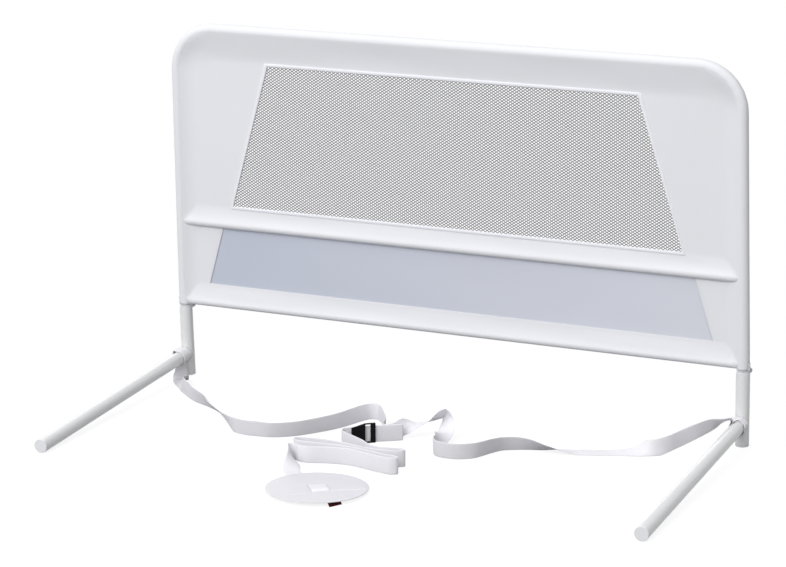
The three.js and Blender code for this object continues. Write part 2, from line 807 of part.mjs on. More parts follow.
function hingeSocket(side) {
  const half = middleKnuckle / 2;
  const flange = rod("z", sleeveRadius, socketBottom, socketBottom + socketFlange, postSides);
  const plug = rod("z", plugRadius, socketBottom, socketTop, frameSides);
  const knuckle = atPivot(rod("x", knuckleRadius, -half, half, postSides));
  const bridge = block([-half, half], [frameRadius / 2, pivotSetback], [socketBottom, socketBottom + socketFlange]);
  const whole = joined(flange, plug, knuckle, bridge).add(hingeTongue());
  const boreFrom = side * (cavityInner - springBoreDepth);
  const boreTo = side * (cavityInner + cutOverrun);
  const springBore = rod("x", springBoreRadius, boreFrom, boreTo, pinSides).translate(0, 0, buttonCentre);
  return cut(whole, buttonCavity(side), springBore, pinBore());
}

function hingePin() {
  const headFrom = knuckleEnd + hingePlay;
  const headTo = headFrom + pinHead;
  const shank = rod("x", hingePinRadius, -headTo, headTo, pinSides);
  const heads = [-1, 1].map((side) => rod("x", pinHeadRadius, side * headFrom, side * headTo, pinSides));
  return joined(shank, ...heads);
}

// Release button: a ribbed cap through the leg's outer wall, on a wider shoulder that stops inside it
function releaseButton(side) {
  const halfWidth = buttonWidth / 2;
  const halfHeight = buttonHeight / 2;
  const face = frameRadius + buttonProud;
  const capX = [side * shoulderInner, side * face];
  const cap = block(capX, [-halfWidth, halfWidth], [buttonCentre - halfHeight, buttonCentre + halfHeight]);
  const shoulderX = [side * shoulderInner, side * shoulderOuter];
  const shoulderY = [-shoulderWidth / 2, shoulderWidth / 2];
  const shoulderZ = [buttonCentre - shoulderHeight / 2, buttonCentre + shoulderHeight / 2];
  const grooves = Array.from({ length: ribCount }, (_, at) => {
    const z = buttonCentre + (at - (ribCount - 1) / 2) * ribWidth * 2;
    const x = [side * (face - ribDepth), side * (face + cutOverrun)];
    return block(x, [-halfWidth - cutOverrun, halfWidth + cutOverrun], [z - ribWidth / 2, z + ribWidth / 2]);
  });
  return cut(joined(cap, block(shoulderX, shoulderY, shoulderZ)), ...grooves);
}

class Coil extends THREE.Curve {
  constructor(radius, length, turns) {
    super();
    Object.assign(this, { radius, length, turns });
  }

  getPoint(share) {
    const angle = share * this.turns * 2 * Math.PI;
    const y = this.radius * Math.cos(angle);
    const z = this.radius * Math.sin(angle);
    return new THREE.Vector3(this.length * share, y, z);
  }
}

function buttonSpring() {
  const from = cavityInner - springBoreDepth + seatGap + springWire / 2;
  const to = shoulderInner - seatGap - springWire / 2;
  const extrudePath = new Coil(springRadius, to - from, springTurns);
  const steps = springTurns * springStepsPerTurn;
  const section = roundSection(springWire / 2, springSides);
  return solid(new THREE.ExtrudeGeometry(section, { steps, extrudePath }).translate(from, 0, 0));
}

// Posts, caps and arms, in the frame of one post
const bolt = { from: postRadius + seatGap, to: -boltReach };

function lowerPost() {
  const low = capFlange + seatGap;
  const high = collarBottom - seatGap;
  const outer = solid(rod("z", postRadius, low, high, postSides));
  const bore = rod("z", postBore, low - cutOverrun, high + cutOverrun, postSides);
  const across = postRadius + cutOverrun;
  const hole = rod("y", boltHole, -across, across, pinSides).rotateX(-armTilt).translate(0, 0, armHeight);
  return cut(outer, bore, hole);
}

function tubeCap(flangeRadius, bore) {
  const outline = [
    [0, 0],
    [flangeRadius, 0],
    [flangeRadius, capFlange],
    [bore - seatGap, capFlange],
    [bore - seatGap, capFlange + capPlugLength],
    [0, capFlange + capPlugLength],
  ];
  return solid(turned(outline, postSides));
}

// The hollow that the post leaves in an arm's root, in the frame of the arm
function postCope() {
  const reach = armRadius * 2;
  return rod("z", postRadius + seatGap, -reach, reach, postSides).rotateX(armTilt);
}

function armTube() {
  const tip = -armLength + capFlange + seatGap;
  const outer = solid(rod("y", armRadius, tip, 0, postSides));
  return cut(outer, rod("y", armBore, tip - cutOverrun, cutOverrun, postSides), postCope());
}

function armInsert() {
  const outer = solid(rod("y", armBore - seatGap, -insertLength, 0, postSides));
  return cut(outer, postCope(), rod("y", boltHole, -boltHoleDepth, cutOverrun, pinSides));
}

function armBolt() {
  const head = rod("y", boltHeadRadius, bolt.from, bolt.from + boltHeadHeight, boltHeadSides);
  return joined(head, rod("y", boltRadius, bolt.to, bolt.from + boltHeadHeight, pinSides));
}

function strapLoop() {
  const inner = armRadius + loopClearance;
  const from = -loopStart - webbingWidth;
  const outer = solid(rod("y", inner + webbingThickness, from, -loopStart, postSides));
  return cut(outer, rod("y", inner, from - cutOverrun, cutOverrun - loopStart, postSides));
}

for (const [word, side] of [["left", -1], ["right", 1]]) {
  const stand = new THREE.Group();
  stand.position.x = side * postX;
  upright.add(stand);
  piece(stand, `hinge_socket_${word}`, hingeSocket(side), "whiteMoulding");
  piece(stand, `hinge_collar_${word}`, hingeCollar(), "whiteMoulding");
  piece(stand, `hinge_pin_${word}`, hingePin(), "bareSteel").position.set(0, pivotSetback, pivotHeight);
  piece(stand, `release_button_${word}`, releaseButton(side), "whiteMoulding");
  const spring = piece(stand, `button_spring_${word}`, buttonSpring(), "bareSteel");
  spring.position.z = buttonCentre;
  spring.rotation.z = side < 0 ? Math.PI : 0;
  piece(stand, `lower_post_${word}`, lowerPost(), "enamel");
  piece(stand, `foot_cap_${word}`, tubeCap(postRadius, postBore), "whiteMoulding");

  const arm = new THREE.Group();
  arm.position.z = armHeight;
  arm.rotation.x = -armTilt;
  stand.add(arm);
  piece(arm, `arm_tube_${word}`, armTube(), "enamel");
  piece(arm, `arm_insert_${word}`, armInsert(), "whiteMoulding");
  piece(arm, `arm_bolt_${word}`, armBolt(), "bareSteel");
  const endCap = piece(arm, `arm_end_cap_${word}`, tubeCap(armRadius, armBore), "whiteMoulding");
  endCap.position.y = -armLength;
  endCap.rotation.x = -Math.PI / 2;
  piece(arm, `strap_loop_${word}`, strapLoop(), "webbing");
}

// Webbing, buckle and plate on the ground
piece(onGround, "cross_strap", solid(webbing(crossStrapRoute, webbingWidth, webbingThickness)), "webbing");
piece(onGround, "tail_strap", solid(webbing(tailStrapRoute, webbingWidth, webbingThickness)), "webbing");
piece(onGround, "disc_label", solid(webbing(labelRoute, labelWidth, labelThickness)), "label");

// In the buckle's frame X runs from its bar to its tab, Y to its front and Z up
function buckleBody() {
  const windowEnd = barWidth + windowWidth;
  const tabDrop = (buckleHeight - tabTipHeight) / 2;
  const outline = [
    [0, 0],
    [windowEnd, 0],
    [windowEnd + tabLength, tabDrop],
    [windowEnd + tabLength, buckleHeight - tabDrop],
    [windowEnd, buckleHeight],
    [0, buckleHeight],
  ];
  const opening = [
    [barWidth, buckleFrame],
    [windowEnd, buckleFrame],
    [windowEnd, buckleHeight - buckleFrame],
    [barWidth, buckleHeight - buckleFrame],
  ];
  return solid(sheetPiece(outline, [opening], -buckleThickness / 2, buckleThickness / 2));
}

const buckleGroup = new THREE.Group();
buckleGroup.position.set(...buckleEnd, buckleFoot);
buckleGroup.rotation.z = THREE.MathUtils.degToRad(buckleTurn);
onGround.add(buckleGroup);
piece(buckleGroup, "buckle", buckleBody(), "blackMoulding");

const bandBack = -bandThickness;
const bandBox = block([bandBehindBar - bandLength, bandBehindBar], [bandBack, 0], [0, webbingWidth]);
const band = piece(buckleGroup, "buckle_loop", solid(bandBox), "webbing");
band.position.y = -buckleThickness / 2 - seatGap;
band.rotation.z = THREE.MathUtils.degToRad(bandTurn);

// The plate's X runs along its slots. The webbing comes up through the far slot and down the near one
function anchorDisc() {
  const crownRadius = discRadius - discCrown;
  const outline = [
    [0, 0],
    [discRadius, 0],
    [discRadius, discRim / 2],
    [crownRadius, discRim],
    [discRadius / 2, (discRim + discCrown) / 2 + seatGap],
    [0, discCrown],
  ];
  const slots = [slotFar, -slotNear].map((y) => {
    const x = [-slotLength / 2, slotLength / 2];
    return block(x, [y - slotWidth / 2, y + slotWidth / 2], [-cutOverrun, discCrown + cutOverrun]);
  });
  return cut(solid(turned(outline, discSides)), ...slots);
}

const discGroup = new THREE.Group();
const tiltAxis = new THREE.Vector3(...discTiltAxis).normalize();
discGroup.position.set(...discCentre);
discGroup.quaternion.setFromAxisAngle(tiltAxis, THREE.MathUtils.degToRad(discTilt));
onGround.add(discGroup);
piece(discGroup, "anchor_disc", anchorDisc(), "plate").rotation.z = THREE.MathUtils.degToRad(discTurn);

// The origin is on the ground, under the middle of the rail without its webbing
rail.updateMatrixWorld(true);
const standing = new THREE.Box3().setFromObject(upright, true);
const middle = standing.getCenter(new THREE.Vector3());
rail.position.set(-middle.x, -middle.y, 0);
upright.position.z -= standing.min.z;

export default rail;
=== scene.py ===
"""Folding bed guard rail: its sewn cover, net, webbing, finishes, stage and camera.

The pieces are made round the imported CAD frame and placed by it. Sizes read off the photograph are
in millimetres, and MM turns them to Blender's metres.
"""
import json

import bmesh
import bpy
import numpy as np
from bpy.props import FloatProperty, FloatVectorProperty, PointerProperty
from mathutils import Matrix, Vector

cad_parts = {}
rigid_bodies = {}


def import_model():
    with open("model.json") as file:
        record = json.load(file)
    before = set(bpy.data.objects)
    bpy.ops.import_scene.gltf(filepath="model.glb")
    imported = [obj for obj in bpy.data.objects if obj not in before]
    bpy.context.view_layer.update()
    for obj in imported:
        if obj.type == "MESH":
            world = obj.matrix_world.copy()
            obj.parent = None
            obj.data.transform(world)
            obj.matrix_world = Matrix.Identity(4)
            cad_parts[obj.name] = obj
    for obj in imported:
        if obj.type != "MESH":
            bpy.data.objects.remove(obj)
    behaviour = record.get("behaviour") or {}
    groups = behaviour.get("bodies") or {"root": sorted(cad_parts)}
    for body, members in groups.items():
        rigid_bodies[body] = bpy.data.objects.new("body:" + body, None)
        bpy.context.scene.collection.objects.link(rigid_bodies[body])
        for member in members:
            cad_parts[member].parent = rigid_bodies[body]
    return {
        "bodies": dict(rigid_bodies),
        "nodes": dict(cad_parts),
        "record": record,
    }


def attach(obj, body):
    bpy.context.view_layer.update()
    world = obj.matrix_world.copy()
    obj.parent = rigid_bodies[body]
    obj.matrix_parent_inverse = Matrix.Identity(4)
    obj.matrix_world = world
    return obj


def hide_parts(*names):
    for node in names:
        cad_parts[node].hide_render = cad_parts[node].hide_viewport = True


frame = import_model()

bl_info = {
    "name": "Folding Bed Guard Rail",
    "version": (1, 0, 0),
    "blender": (4, 5, 0),
    "location": "3D View > Sidebar > Bed Guard",
    "description": "Makes the soft goods, the finishes and the stage of a folding bed guard rail",
    "category": "Add Mesh",
}

CAD_THINGS = set(frame["nodes"].values()) | set(frame["bodies"].values())
for spare in set(bpy.context.scene.objects) - CAD_THINGS:
    bpy.data.objects.remove(spare)
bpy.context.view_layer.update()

MM = 0.001
MOUNTS = {mount["name"]: mount for mount in frame["record"]["mounts"]}

# The rail leans a little, because the arms' tips rest on the ground
FOOT = np.array(MOUNTS["foot_right"]["pos_m"])
FOOT_AXIS = MOUNTS["foot_right"]["axis"]
LEAN = np.arctan2(FOOT_AXIS[1], -FOOT_AXIS[2])
POST_X = FOOT[0]
FLOOR_SHIFT = np.array([0, FOOT[1], 0])

# The guard's tube and bars
TUBE_RADIUS = 10 * MM
BAR_RADIUS = 8 * MM
TOP_HEIGHT = 655.4 * MM
CORNER_RADIUS = 77 * MM
TAPER_START = 165 * MM
TAPER_IN = 9.97 * MM
MIDDLE_BAR = 298 * MM
HEM_BAR = 145.9 * MM
RUN_STEP = 0.5 * MM

# The cover
SLEEVE_RADIUS = TUBE_RADIUS + 0.9 * MM
POCKET_RADIUS = BAR_RADIUS + 0.75 * MM
HEM_BOTTOM = 136.8 * MM
BUTTON_NOTCH_TOP = 149.3 * MM
BUTTON_NOTCH_HALF = 4.1 * MM
NET_WINDOW = (598 * MM, 346 * MM, 330 * MM, 426 * MM)
LOWER_WINDOW = (288.8 * MM, 446.5 * MM, 181 * MM, 479 * MM)
BINDING_OUT = 3.2 * MM
BINDING_IN = 2.3 * MM
BINDING_FRONT = 2.1 * MM
BINDING_BACK = 2.2 * MM
NET_MARGIN = BINDING_OUT - 0.5 * MM
NET_BEHIND = 1.3 * MM
LOWER_MARGIN = 3.5 * MM
LOWER_BEHIND = 1.2 * MM
LOWER_CLOTH = 0.4 * MM
# How far to each side the lower window's painted light runs, from darker at the left to lighter at
# the right
WINDOW_PAINTED_LIGHT_REACH = 420 * MM
RING_STEPS = (100, 90, 100, 90)
# Sines that wave the cloth: how strong each is, and its lengths across and up over two pi
PANEL_WAVES = ((0.4, 60 * MM, 90 * MM), (0.24, -140 * MM, 38 * MM))
LOWER_WAVES = ((0.5 * MM, 95 * MM, 35 * MM), (0.25 * MM, 33 * MM, np.inf))
# How the panel leaves its tubes and bars: where each sweep of cloth would meet the panel if it
# were straight, how much higher it is there, and where it ends
LEG_SWEEP, LEG_REACH = 19 * MM, 36 * MM
TOP_SWEEP = 44 * MM
BAR_SWEEP, BAR_LIFT, HEM_LIFT = 13.5 * MM, 1.8 * MM, 2.6 * MM
UNDER_BAR_SWEEP = POCKET_RADIUS + 0.2 * MM
UNDER_SLEEVE = 0.7 * MM
CORNER_BLEND = 90 * MM
PANEL_CLOTH_SHARE = 0.8
# The sleeve: its ripples in the bends, and the points of its section and of its feet
RIPPLE_SHARE, RIPPLE_PITCH = 0.012, 19 * MM
SIDE_POINTS, NOTCH_POINTS, FOOT_POINTS = 19, 5, 4
NOTCH = slice(SIDE_POINTS - 1, SIDE_POINTS + NOTCH_POINTS - 2)
BUTTON_ROOM = 3 * MM

# Seams: how far outside the window each runs, how deep the tape's lies under its face and how far
# the other stands in front of the middle plane; then the stitches' length and width
TAPE_SEAM, SEAM_SUNK = 0.5 * MM, 0.05 * MM
LOWER_SEAM = (3 * MM, 1.35 * MM)
COVER_STITCH = (2.8 * MM, 0.5 * MM)
BAND_STITCH_PITCH = 2.6 * MM
BAND_STITCH = (2.2 * MM, 0.6 * MM)
BAND_SEAMS = (-4 * MM, -7 * MM, -10 * MM, -44 * MM)
BAND_SEAM_MARGIN = 3 * MM

# Arms, and the loops of webbing sewn round them
ARM_HEIGHT = 41.1 * MM
ARM_REACH, ARM_RISE = 524.9 * MM, 4.2 * MM
ARM_TILT = np.arctan2(ARM_RISE, ARM_REACH)
ARM_RADIUS = 12 * MM
LOOP_START = 13 * MM
# How deep a bunched loop waves and how far its edges tip, then where round the arm its fold stands
# and how wide it is, in radians
LOOP_WAVE, LOOP_FLARE = 0.8 * MM, 0.06
FOLD_AT, FOLD_SPREAD = 2.2, 0.24
# Name, side, share of bunching and height of the fold
ARM_LOOPS = (("left", -1, 0.1, 4 * MM), ("right", 1, 0.45, 5 * MM))

# The buckle and its band
BUCKLE_END = np.array([-42.6, -241.7, 0.5]) * MM
BUCKLE_TURN = np.radians(-141.8)
BAND_TURN = np.radians(-3.2)
BAND_BEHIND = np.array([0, -1.8, 0]) * MM
BAND_FROM = -48.8 * MM
BAND_TO = 17 * MM
BAND_THICKNESS = 3.1 * MM

# The round plate
PLATE_RADIUS = 84 * MM
PLATE_CENTRE = np.array([-23.7, -511.4, 4.2]) * MM
PLATE_TURN = np.radians(37.8)
PLATE_TILT = np.radians(1.8)
PLATE_TILT_AXIS = (-0.9135, -0.4068, 0)
SLOT_SIZE = (31 * MM, 4 * MM)
SLOT_PLACES = (7 * MM, -26 * MM)
# Its top: distances from the centre and the height at each
PLATE_STEPS = np.array([0, 42, 79, 81.5, 83.2, 84]) * MM
PLATE_HEIGHTS = np.array([3.2, 2.7, 1.75, 1.6, 1.3, 0.8]) * MM
# Rings of its mesh: even ones out to the first radius, then the rim's and the underside's
PLATE_FLAT, PLATE_RIM = 80 * MM, np.array([81.5, 82.5, 83.2, 83.7, 84]) * MM
PLATE_UNDER = np.array([83.8, 60, 30, 0]) * MM
# Relief moulded into the top: a crease, bent at the middle, and a hollow, both gone at the rim
CREASE_DEPTH, CREASE_WIDTH, CREASE_PLACE = 1.1 * MM, 1.5 * MM, -25.2 * MM
CREASE_SLOPES, SLOPE_BEYOND = (0.21, -0.055), 0.012
HOLLOW_DEPTH, HOLLOW_PLACE, HOLLOW_SIZE = 0.9 * MM, (43 * MM, -30 * MM), (21 * MM, 6.5 * MM)
RIM_FADE = 5 * MM
# How far the boxes that cut the slots reach under and over the plate
CUT_BELOW, CUT_ABOVE = 5 * MM, 9 * MM
TAB_WIDTH = 23 * MM
TAB_THICKNESS = 0.8 * MM
TAB_STEP = 1 * MM

GROUND_GAP = 0.3 * MM

# Steps of the meshes: along or up, then across or round
CORNER_STEPS = 60
FLANK_STEPS = 40
SLEEVE_STEPS = 361
POCKET_STEPS = 81
PANEL_STEPS = 37
WINDOW_STEPS = (25, 121)
TAPE_STEPS = (90, 32, 90, 32)
SEAM_STEPS = (8, 8, 8, 8)
LOOP_STEPS = 72
BAND_STEPS, BAND_END_STEPS = 120, 9
PLATE_RINGS, PLATE_SPOKES = 121, 360
# Sections of the tape and of the webbing: steps round, and the powers of the cosine and the sine
TAPE_SECTION = (20, (0.35, 0.6))
WEBBING_SECTION = (22, (0.3, 0.4))

# Corners nearer than these are one, in the CAD's pieces and in those made here, and the angles
# in radians above which the CAD's edges stay sharp and get a bevel
MERGE_GAP = 0.01 * MM
WELD_GAP = 0.001 * MM
SHADED_SHARP = 0.6
BEVEL_SHARP = np.radians(35)

# The stage: the softboxes' places and size, the floor's thickness and glow, and how the sky's light
# changes along x and y, where it is stronger from the left and from the front
FRONT_SOFTBOX = (-1.2, -4.6, 3.9)
BACK_SOFTBOX = (-1.6, 4.0, 1.5)
SOFTBOX_SIZE = (3.2, 2.6)
FLOOR_DEPTH = 4 * MM
FLOOR_GLOW = 0.84
SKY_LEAN = (-0.12, -0.82)
DARKEST_SKY = 0.12

# The camera, solved from the rail's own edges in the photograph
CAMERA_PLACE = np.array([1755.264, -4200.386, 1385.729]) * MM + FLOOR_SHIFT
CAMERA_AZIMUTH = np.radians(24.03)
CAMERA_ELEVATION = np.radians(14.255)
CAMERA_ROLL = np.radians(-0.095)
FOCAL_PIXELS = 2671.46
PICTURE_WIDTH = 786
SENSOR_WIDTH = 36
LENS_SHIFT = (-0.0004, -0.0009)

# Routes of the webbing as it lies, from the spot on the ground between the feet: a station is x, y
# and z of the lower edge and then of the upper edge. The tail stands on edge at its first places.
CROSS_ROUTE = [
    (-532, -43, 25.1, -532, -14, 26.7), (-536, -46, 14, -526, -20, 14),
    (-535, -51, 5, -523, -26, 5), (-531, -60, 1.5, -518, -34, 2), (-521, -74, 1, -508, -50, 8),
    (-503, -95, 1, -492, -79, 22), (-483, -117, 1, -482, -115, 30), (-458, -140, 1, -458, -141, 30),
    (-433, -159, 1, -436, -164, 29), (-411, -170, 1, -416, -179, 28),
    (-397, -177, 1, -403, -188, 27), (-369, -195, 1, -381, -211, 22),
    (-350, -212, 1, -365, -226, 22), (-330, -235, 1, -345, -247, 24),
    (-307, -267, 1, -317, -275, 27), (-285, -291, 1, -288, -295, 29),
    (-265, -296, 1, -266, -301, 29), (-236, -295, 1, -236, -300, 30),
    (-222, -292, 1, -220, -298, 29), (-190, -274, 1, -187, -280, 29),
    (-155, -234, 1, -153, -239, 30), (-132, -195, 1, -131, -195, 30),
    (-121, -167, 1, -122, -164, 30), (-112, -139, 1, -113, -137, 30),
    (-104, -125, 1, -104, -124, 30), (-94, -122, 1, -94, -121, 30), (-84, -131, 1, -84, -130, 30),
    (-66, -157, 1, -66, -156, 30), (-50, -184, 1, -50, -183, 30), (-42, -206, 1, -42, -206, 30),
    (-38, -221, 1, -38, -221, 30), (-32, -227, 1, -32, -227, 30), (-24, -221, 1, -25, -221, 30),
    (-15, -214, 3, -17, -210, 31), (-6, -207, 9, -11, -192, 33), (3, -201, 15, -7, -177, 28),
    (12, -195, 20, 0, -169, 22), (25, -187, 27, 14, -161, 22), (35, -180, 35, 26, -156, 23),
    (42, -175, 43, 34, -154, 25), (50, -170, 50, 41, -152, 28), (59, -166, 52, 45, -150, 31),
    (66, -165, 42, 44, -152, 27), (72, -171, 29, 45, -165, 21), (76, -182, 17, 49, -188, 14),
    (77, -200, 9, 53, -209, 22), (74, -222, 3, 61, -230, 28), (71, -241, 1, 69, -245, 29),
    (72, -257, 1, 72, -260, 30), (80, -268, 1, 81, -271, 29), (94, -273, 1, 95, -277, 29),
    (114, -273, 1, 116, -277, 29), (132, -265, 1, 134, -269, 29), (145, -253, 1, 147, -258, 29),
    (153, -236, 1, 156, -243, 29), (161, -214, 1, 165, -222, 28), (172, -195, 1, 176, -205, 27),
    (188, -184, 1, 194, -193, 27), (209, -174, 1, 218, -188, 25), (236, -164, 1, 248, -186, 17),
    (259, -153, 2, 273, -177, 8), (286, -141, 1, 299, -167, 1), (321, -127, 1, 330, -154, 1),
    (355, -113, 3, 367, -140, 1), (379, -107, 10, 392, -131, 1), (405, -113, 21, 413, -118, 1),
    (433, -101, 34, 437, -96, 6), (454, -80, 43, 460, -71, 16), (471, -73, 51, 479, -59, 27),
    (496, -66, 61, 496, -49, 38), (513, -60, 60, 507, -37, 45.5), (522, -46, 56, 512, -21, 50),
    (525, -42.7, 53.4, 525, -14, 55),
]
TAIL_STANDING = [
    (-58.4, -250.8), (-69.4, -259.5), (-78.4, -266.6), (-86, -275), (-85, -286), (-75, -294),
    (-57, -305), (-30, -322), (-10, -338), (12, -344), (36, -339), (51, -337), (57, -343),
    (49, -350), (30, -355), (0, -357), (-40, -350), (-80, -344), (-115, -346), (-134, -351),
    (-140, -358), (-132, -365), (-105, -367), (-70, -363), (-30, -364), (5, -370), (35, -376),
    (55, -379), (63, -385), (55, -391), (35, -390), (5, -383), (-30, -375.5), (-70, -381.5),
    (-100, -391.5), (-116, -390.5), (-128, -384.5), (-134.9, -388.9),
]
TAIL_ROUTE = [(x, y, 1, x, y, 30) for x, y in TAIL_STANDING] + [
    (-124.8, -394.2, 1, -130.8, -399.4, 28.9), (-111.1, -402.9, 1, -126, -412.7, 23.9),
    (-99.8, -417.2, 1, -122.4, -426.9, 16.4), (-93.4, -430.7, 1, -119.5, -441.2, 8),
    (-90.4, -436.1, 1, -113.5, -453.6, 3), (-82.6, -444.1, 1, -101.5, -466.1, 1),
    (-72, -452, 1, -84, -479, 1), (-45, -469, 1.2, -62, -493, 1.2),
    (-23.9, -487.5, 2.3, -46.8, -505.3, 2.5), (-19, -493.9, 2.4, -41.9, -511.6, 2.6),
    (-17.3, -496.1, 2.9, -40.2, -513.8, 3.2), (-16.7, -496.8, 4.5, -39.6, -514.6, 4.7),
    (-16.6, -496.9, 6, -39.5, -514.7, 6.2), (-16, -497.6, 7.8, -38.9, -515.4, 8),
    (-14.4, -499.7, 8.6, -37.3, -517.5, 8.8), (-6.5, -509.9, 9.1, -29.4, -527.7, 9.3),
    (1.4, -520.1, 9.4, -21.5, -537.8, 9.6), (3.1, -522.2, 8.8, -19.8, -540, 9),
    (3.7, -523, 7, -19.3, -540.8, 7.2), (3.8, -523.2, 5.5, -19.1, -541, 5.7),
    (4.4, -524, 4, -18.5, -541.8, 4.2), (6.2, -526.3, 3.4, -16.8, -544, 3.6),
    (9.2, -530.2, 2.6, -13.7, -548, 2.8), (14.2, -536.6, 1, -8.8, -554.4, 1.2),
]
TAB_ROUTE = [
    (25.4, -574, 5.9, 40, -558.5, 5.7), (28.5, -577, 3.4, 42.2, -560.4, 3.2),
    (31, -578.4, 1, 43.9, -561.8, 1),
]


def linear(hexadecimal):
    """An sRGB hex value as linear red, green, blue and alpha."""
    steps = np.array([int(hexadecimal[at : at + 2], 16) for at in (0, 2, 4)]) / 255
    low = steps / 12.92
    high = ((steps + 0.055) / 1.055) ** 2.4
    return (*np.where(steps <= 0.04045, low, high), 1.0)


def colour_property(name, description, hexadecimal):
    return FloatVectorProperty(
        name=name, description=description, subtype="COLOR", size=4, default=linear(hexadecimal)
    )


def length_property(name, description, default):
    return FloatProperty(
        name=name, description=description, default=default, unit="LENGTH", precision=5
    )


class GuardCoverSettings(bpy.types.PropertyGroup):
    """Sizes and colours of the sewn cover."""

    cloth_thickness: length_property("Cloth", "Thickness of the cover's cloth", 0.6 * MM)
    panel_thickness: length_property("Panel", "Thickness of the panel", 1.2 * MM)
    fold_depth: length_property("Folds", "Depth of the soft folds in the panel", 1.0 * MM)
    stitch_pitch: length_property("Stitch", "From one stitch to the next", 4 * MM)
    colour: colour_property("Cover", "Polyester cloth of the cover", "E3E4E8")
    binding_colour: colour_property("Binding", "Tape round the net", "E9EAEF")
    window_colour: colour_property("Lower window", "Thin cloth of the lower window", "BEC3D1")
    # Painted light: a lighter colour for the lower window's right end, where more light falls
    window_painted_lit_right: colour_property("Its right end", "The same cloth with more light", "D0D3DC")
    thread_colour: colour_property("Thread", "Sewing thread", "E9E9EE")


class GuardNetSettings(bpy.types.PropertyGroup):
    """Sizes and colour of the net."""

    gap_pitch: length_property("Pitch", "From one gap to the next along a row", 7.7 * MM)
    row_pitch: length_property("Row", "From one row of gaps to the next", 2.58 * MM)
    yarn_width: length_property("Yarn", "Width of the yarn between two gaps", 1.4 * MM)
    relief: length_property("Relief", "How far the yarns weave in and out", 0.3 * MM)
    colour: colour_property("Net", "Knitted net", "76767C")


class WebbingSettings(bpy.types.PropertyGroup):
    """Sizes and colours of the webbing."""

    width: length_property("Width", "Width of the webbing", 29 * MM)
    thickness: length_property("Thickness", "Thickness of the webbing", 1.4 * MM)
    step: length_property("Step", "Length of one step along the webbing", 4 * MM)
    colour: colour_property("Webbing", "Woven polypropylene webbing", "EDECF1")
    tab_colour: colour_property("Tab", "Woven tab under the plate's rim", "3C0A12")


class HardwareSettings(bpy.types.PropertyGroup):
    """Finishes of the tubes and moulded parts."""

    edge_radius: length_property("Edges", "Radius that softens the moulded edges", 0.35 * MM)
    enamel: colour_property("Enamel", "Baked enamel on the steel tubes", "DEDFE0")
    moulding: colour_property("Moulding", "White nylon mouldings", "E2E3E6")
    buckle: colour_property("Buckle", "Black acetal buckle", "09090C")
    plate: colour_property("Plate", "Polypropylene plate", "DDDCE1")
    steel: colour_property("Steel", "Zinc-plated steel", "A9ADB2")


class StudioSettings(bpy.types.PropertyGroup):
    """Sizes and light of the studio."""

    floor_reach: length_property("Floor", "How far the floor reaches to each side", 6.0)
    floor_edge: length_property("Edge", "Where the floor ends behind the posts", 0.27)
    sky: FloatProperty(name="Sky", description="Strength of the light all round", default=0.57)
    rise: FloatProperty(name="Rise", description="How much stronger it is from above", default=0.72)
    lamp: FloatProperty(
        name="Lamp", description="Power of the softbox in front", default=143.0, unit="POWER"
    )
    back_lamp: FloatProperty(
        name="Back Lamp", description="Power of the softbox behind", default=32.0, unit="POWER"
    )
    colour: colour_property("Floor", "Paper floor", "818183")


# Shapes


def placed(points, lean, origin):
    """Points turned about X by lean, then moved to origin."""
    x, y, z = np.moveaxis(points, -1, 0)
    turned = (x, y * np.cos(lean) - z * np.sin(lean), y * np.sin(lean) + z * np.cos(lean))
    return np.stack(turned, axis=-1) + origin


def upright(points):
    """Points of the rail as if it stood upright between its feet, leant and moved to its place."""
    return placed(np.asarray(points, float), LEAN, FOOT * (0, 1, 1))


def on_guard(x, front, z):
    """Points of the guard by place across, distance in front of its middle plane and height."""
    x, front, z = np.broadcast_arrays(x, front, z)
    return upright(np.stack([x, -front, z], axis=-1))


def smooth_step(share):
    """0 below 0 and 1 above 1, with a smooth rise between."""
    share = np.clip(share, 0, 1)
    return share * share * (3 - 2 * share)


def unit(vectors):
    return vectors / np.linalg.norm(vectors, axis=-1, keepdims=True)


def lengths_along(points):
    """How far along a run of points each one is."""
    steps = np.linalg.norm(np.diff(points, axis=0), axis=-1)
    return np.concatenate([[0], np.cumsum(steps)])


def at_lengths(run, at):
    """Each table of a run, its points first, read off at given distances along the points."""
    along = lengths_along(run[0])
    return [np.stack([np.interp(at, along, column) for column in table.T], -1) for table in run]


def resampled(points, at):
    """Points of a run at given distances along it."""
    return at_lengths([points], at)[0]


def closed(points, axis=0):
    """Points round a ring with the first one added again at the end."""
    return np.concatenate([points, points.take([0], axis)], axis)


def lengths_map(along, around):
    """UV map of a grid by the length along it and the length around its section."""
    return np.stack(np.broadcast_arrays(along[:, None], around[None]), axis=-1)


def grid(points, uv, closed_rows=False, closed_columns=False, keep=None):
    """One surface: points (rows, columns, 3), each joined to its neighbours by quads. A closed side
    joins its last points to its first, and there uv has one row or column more than points. keep
    masks the quads."""
    rows, columns = points.shape[:2]
    order = np.arange(rows * columns).reshape(rows, columns)
    if closed_rows:
        order = closed(order)
    if closed_columns:
        order = closed(order, 1)

    def corners(table):
        around = [table[:-1, :-1], table[1:, :-1], table[1:, 1:], table[:-1, 1:]]
        return np.stack(around, axis=2)

    faces = corners(order)
    loops = corners(uv)
    if keep is not None:
        faces, loops = faces[keep], loops[keep]
    return points.reshape(-1, 3), faces.reshape(-1, 4), loops.reshape(-1, 4, 2)


def box_points(corners, low, high):
    """Closed box on four corners, from low to high, as four rings of points from the middle of its
    underside round to the middle of its top."""
    ring = np.column_stack([corners, np.zeros(4)])
    flat = np.tile(ring.mean(axis=0), (4, 1))
    down, up = np.array([[0, 0, low], [0, 0, high]])
    return np.stack([flat + down, ring + down, ring + up, flat + up])


def box_surface(points):
    """The surface of a box, whose plain material needs no map."""
    return grid(points, np.zeros((4, 5, 2)), closed_columns=True)


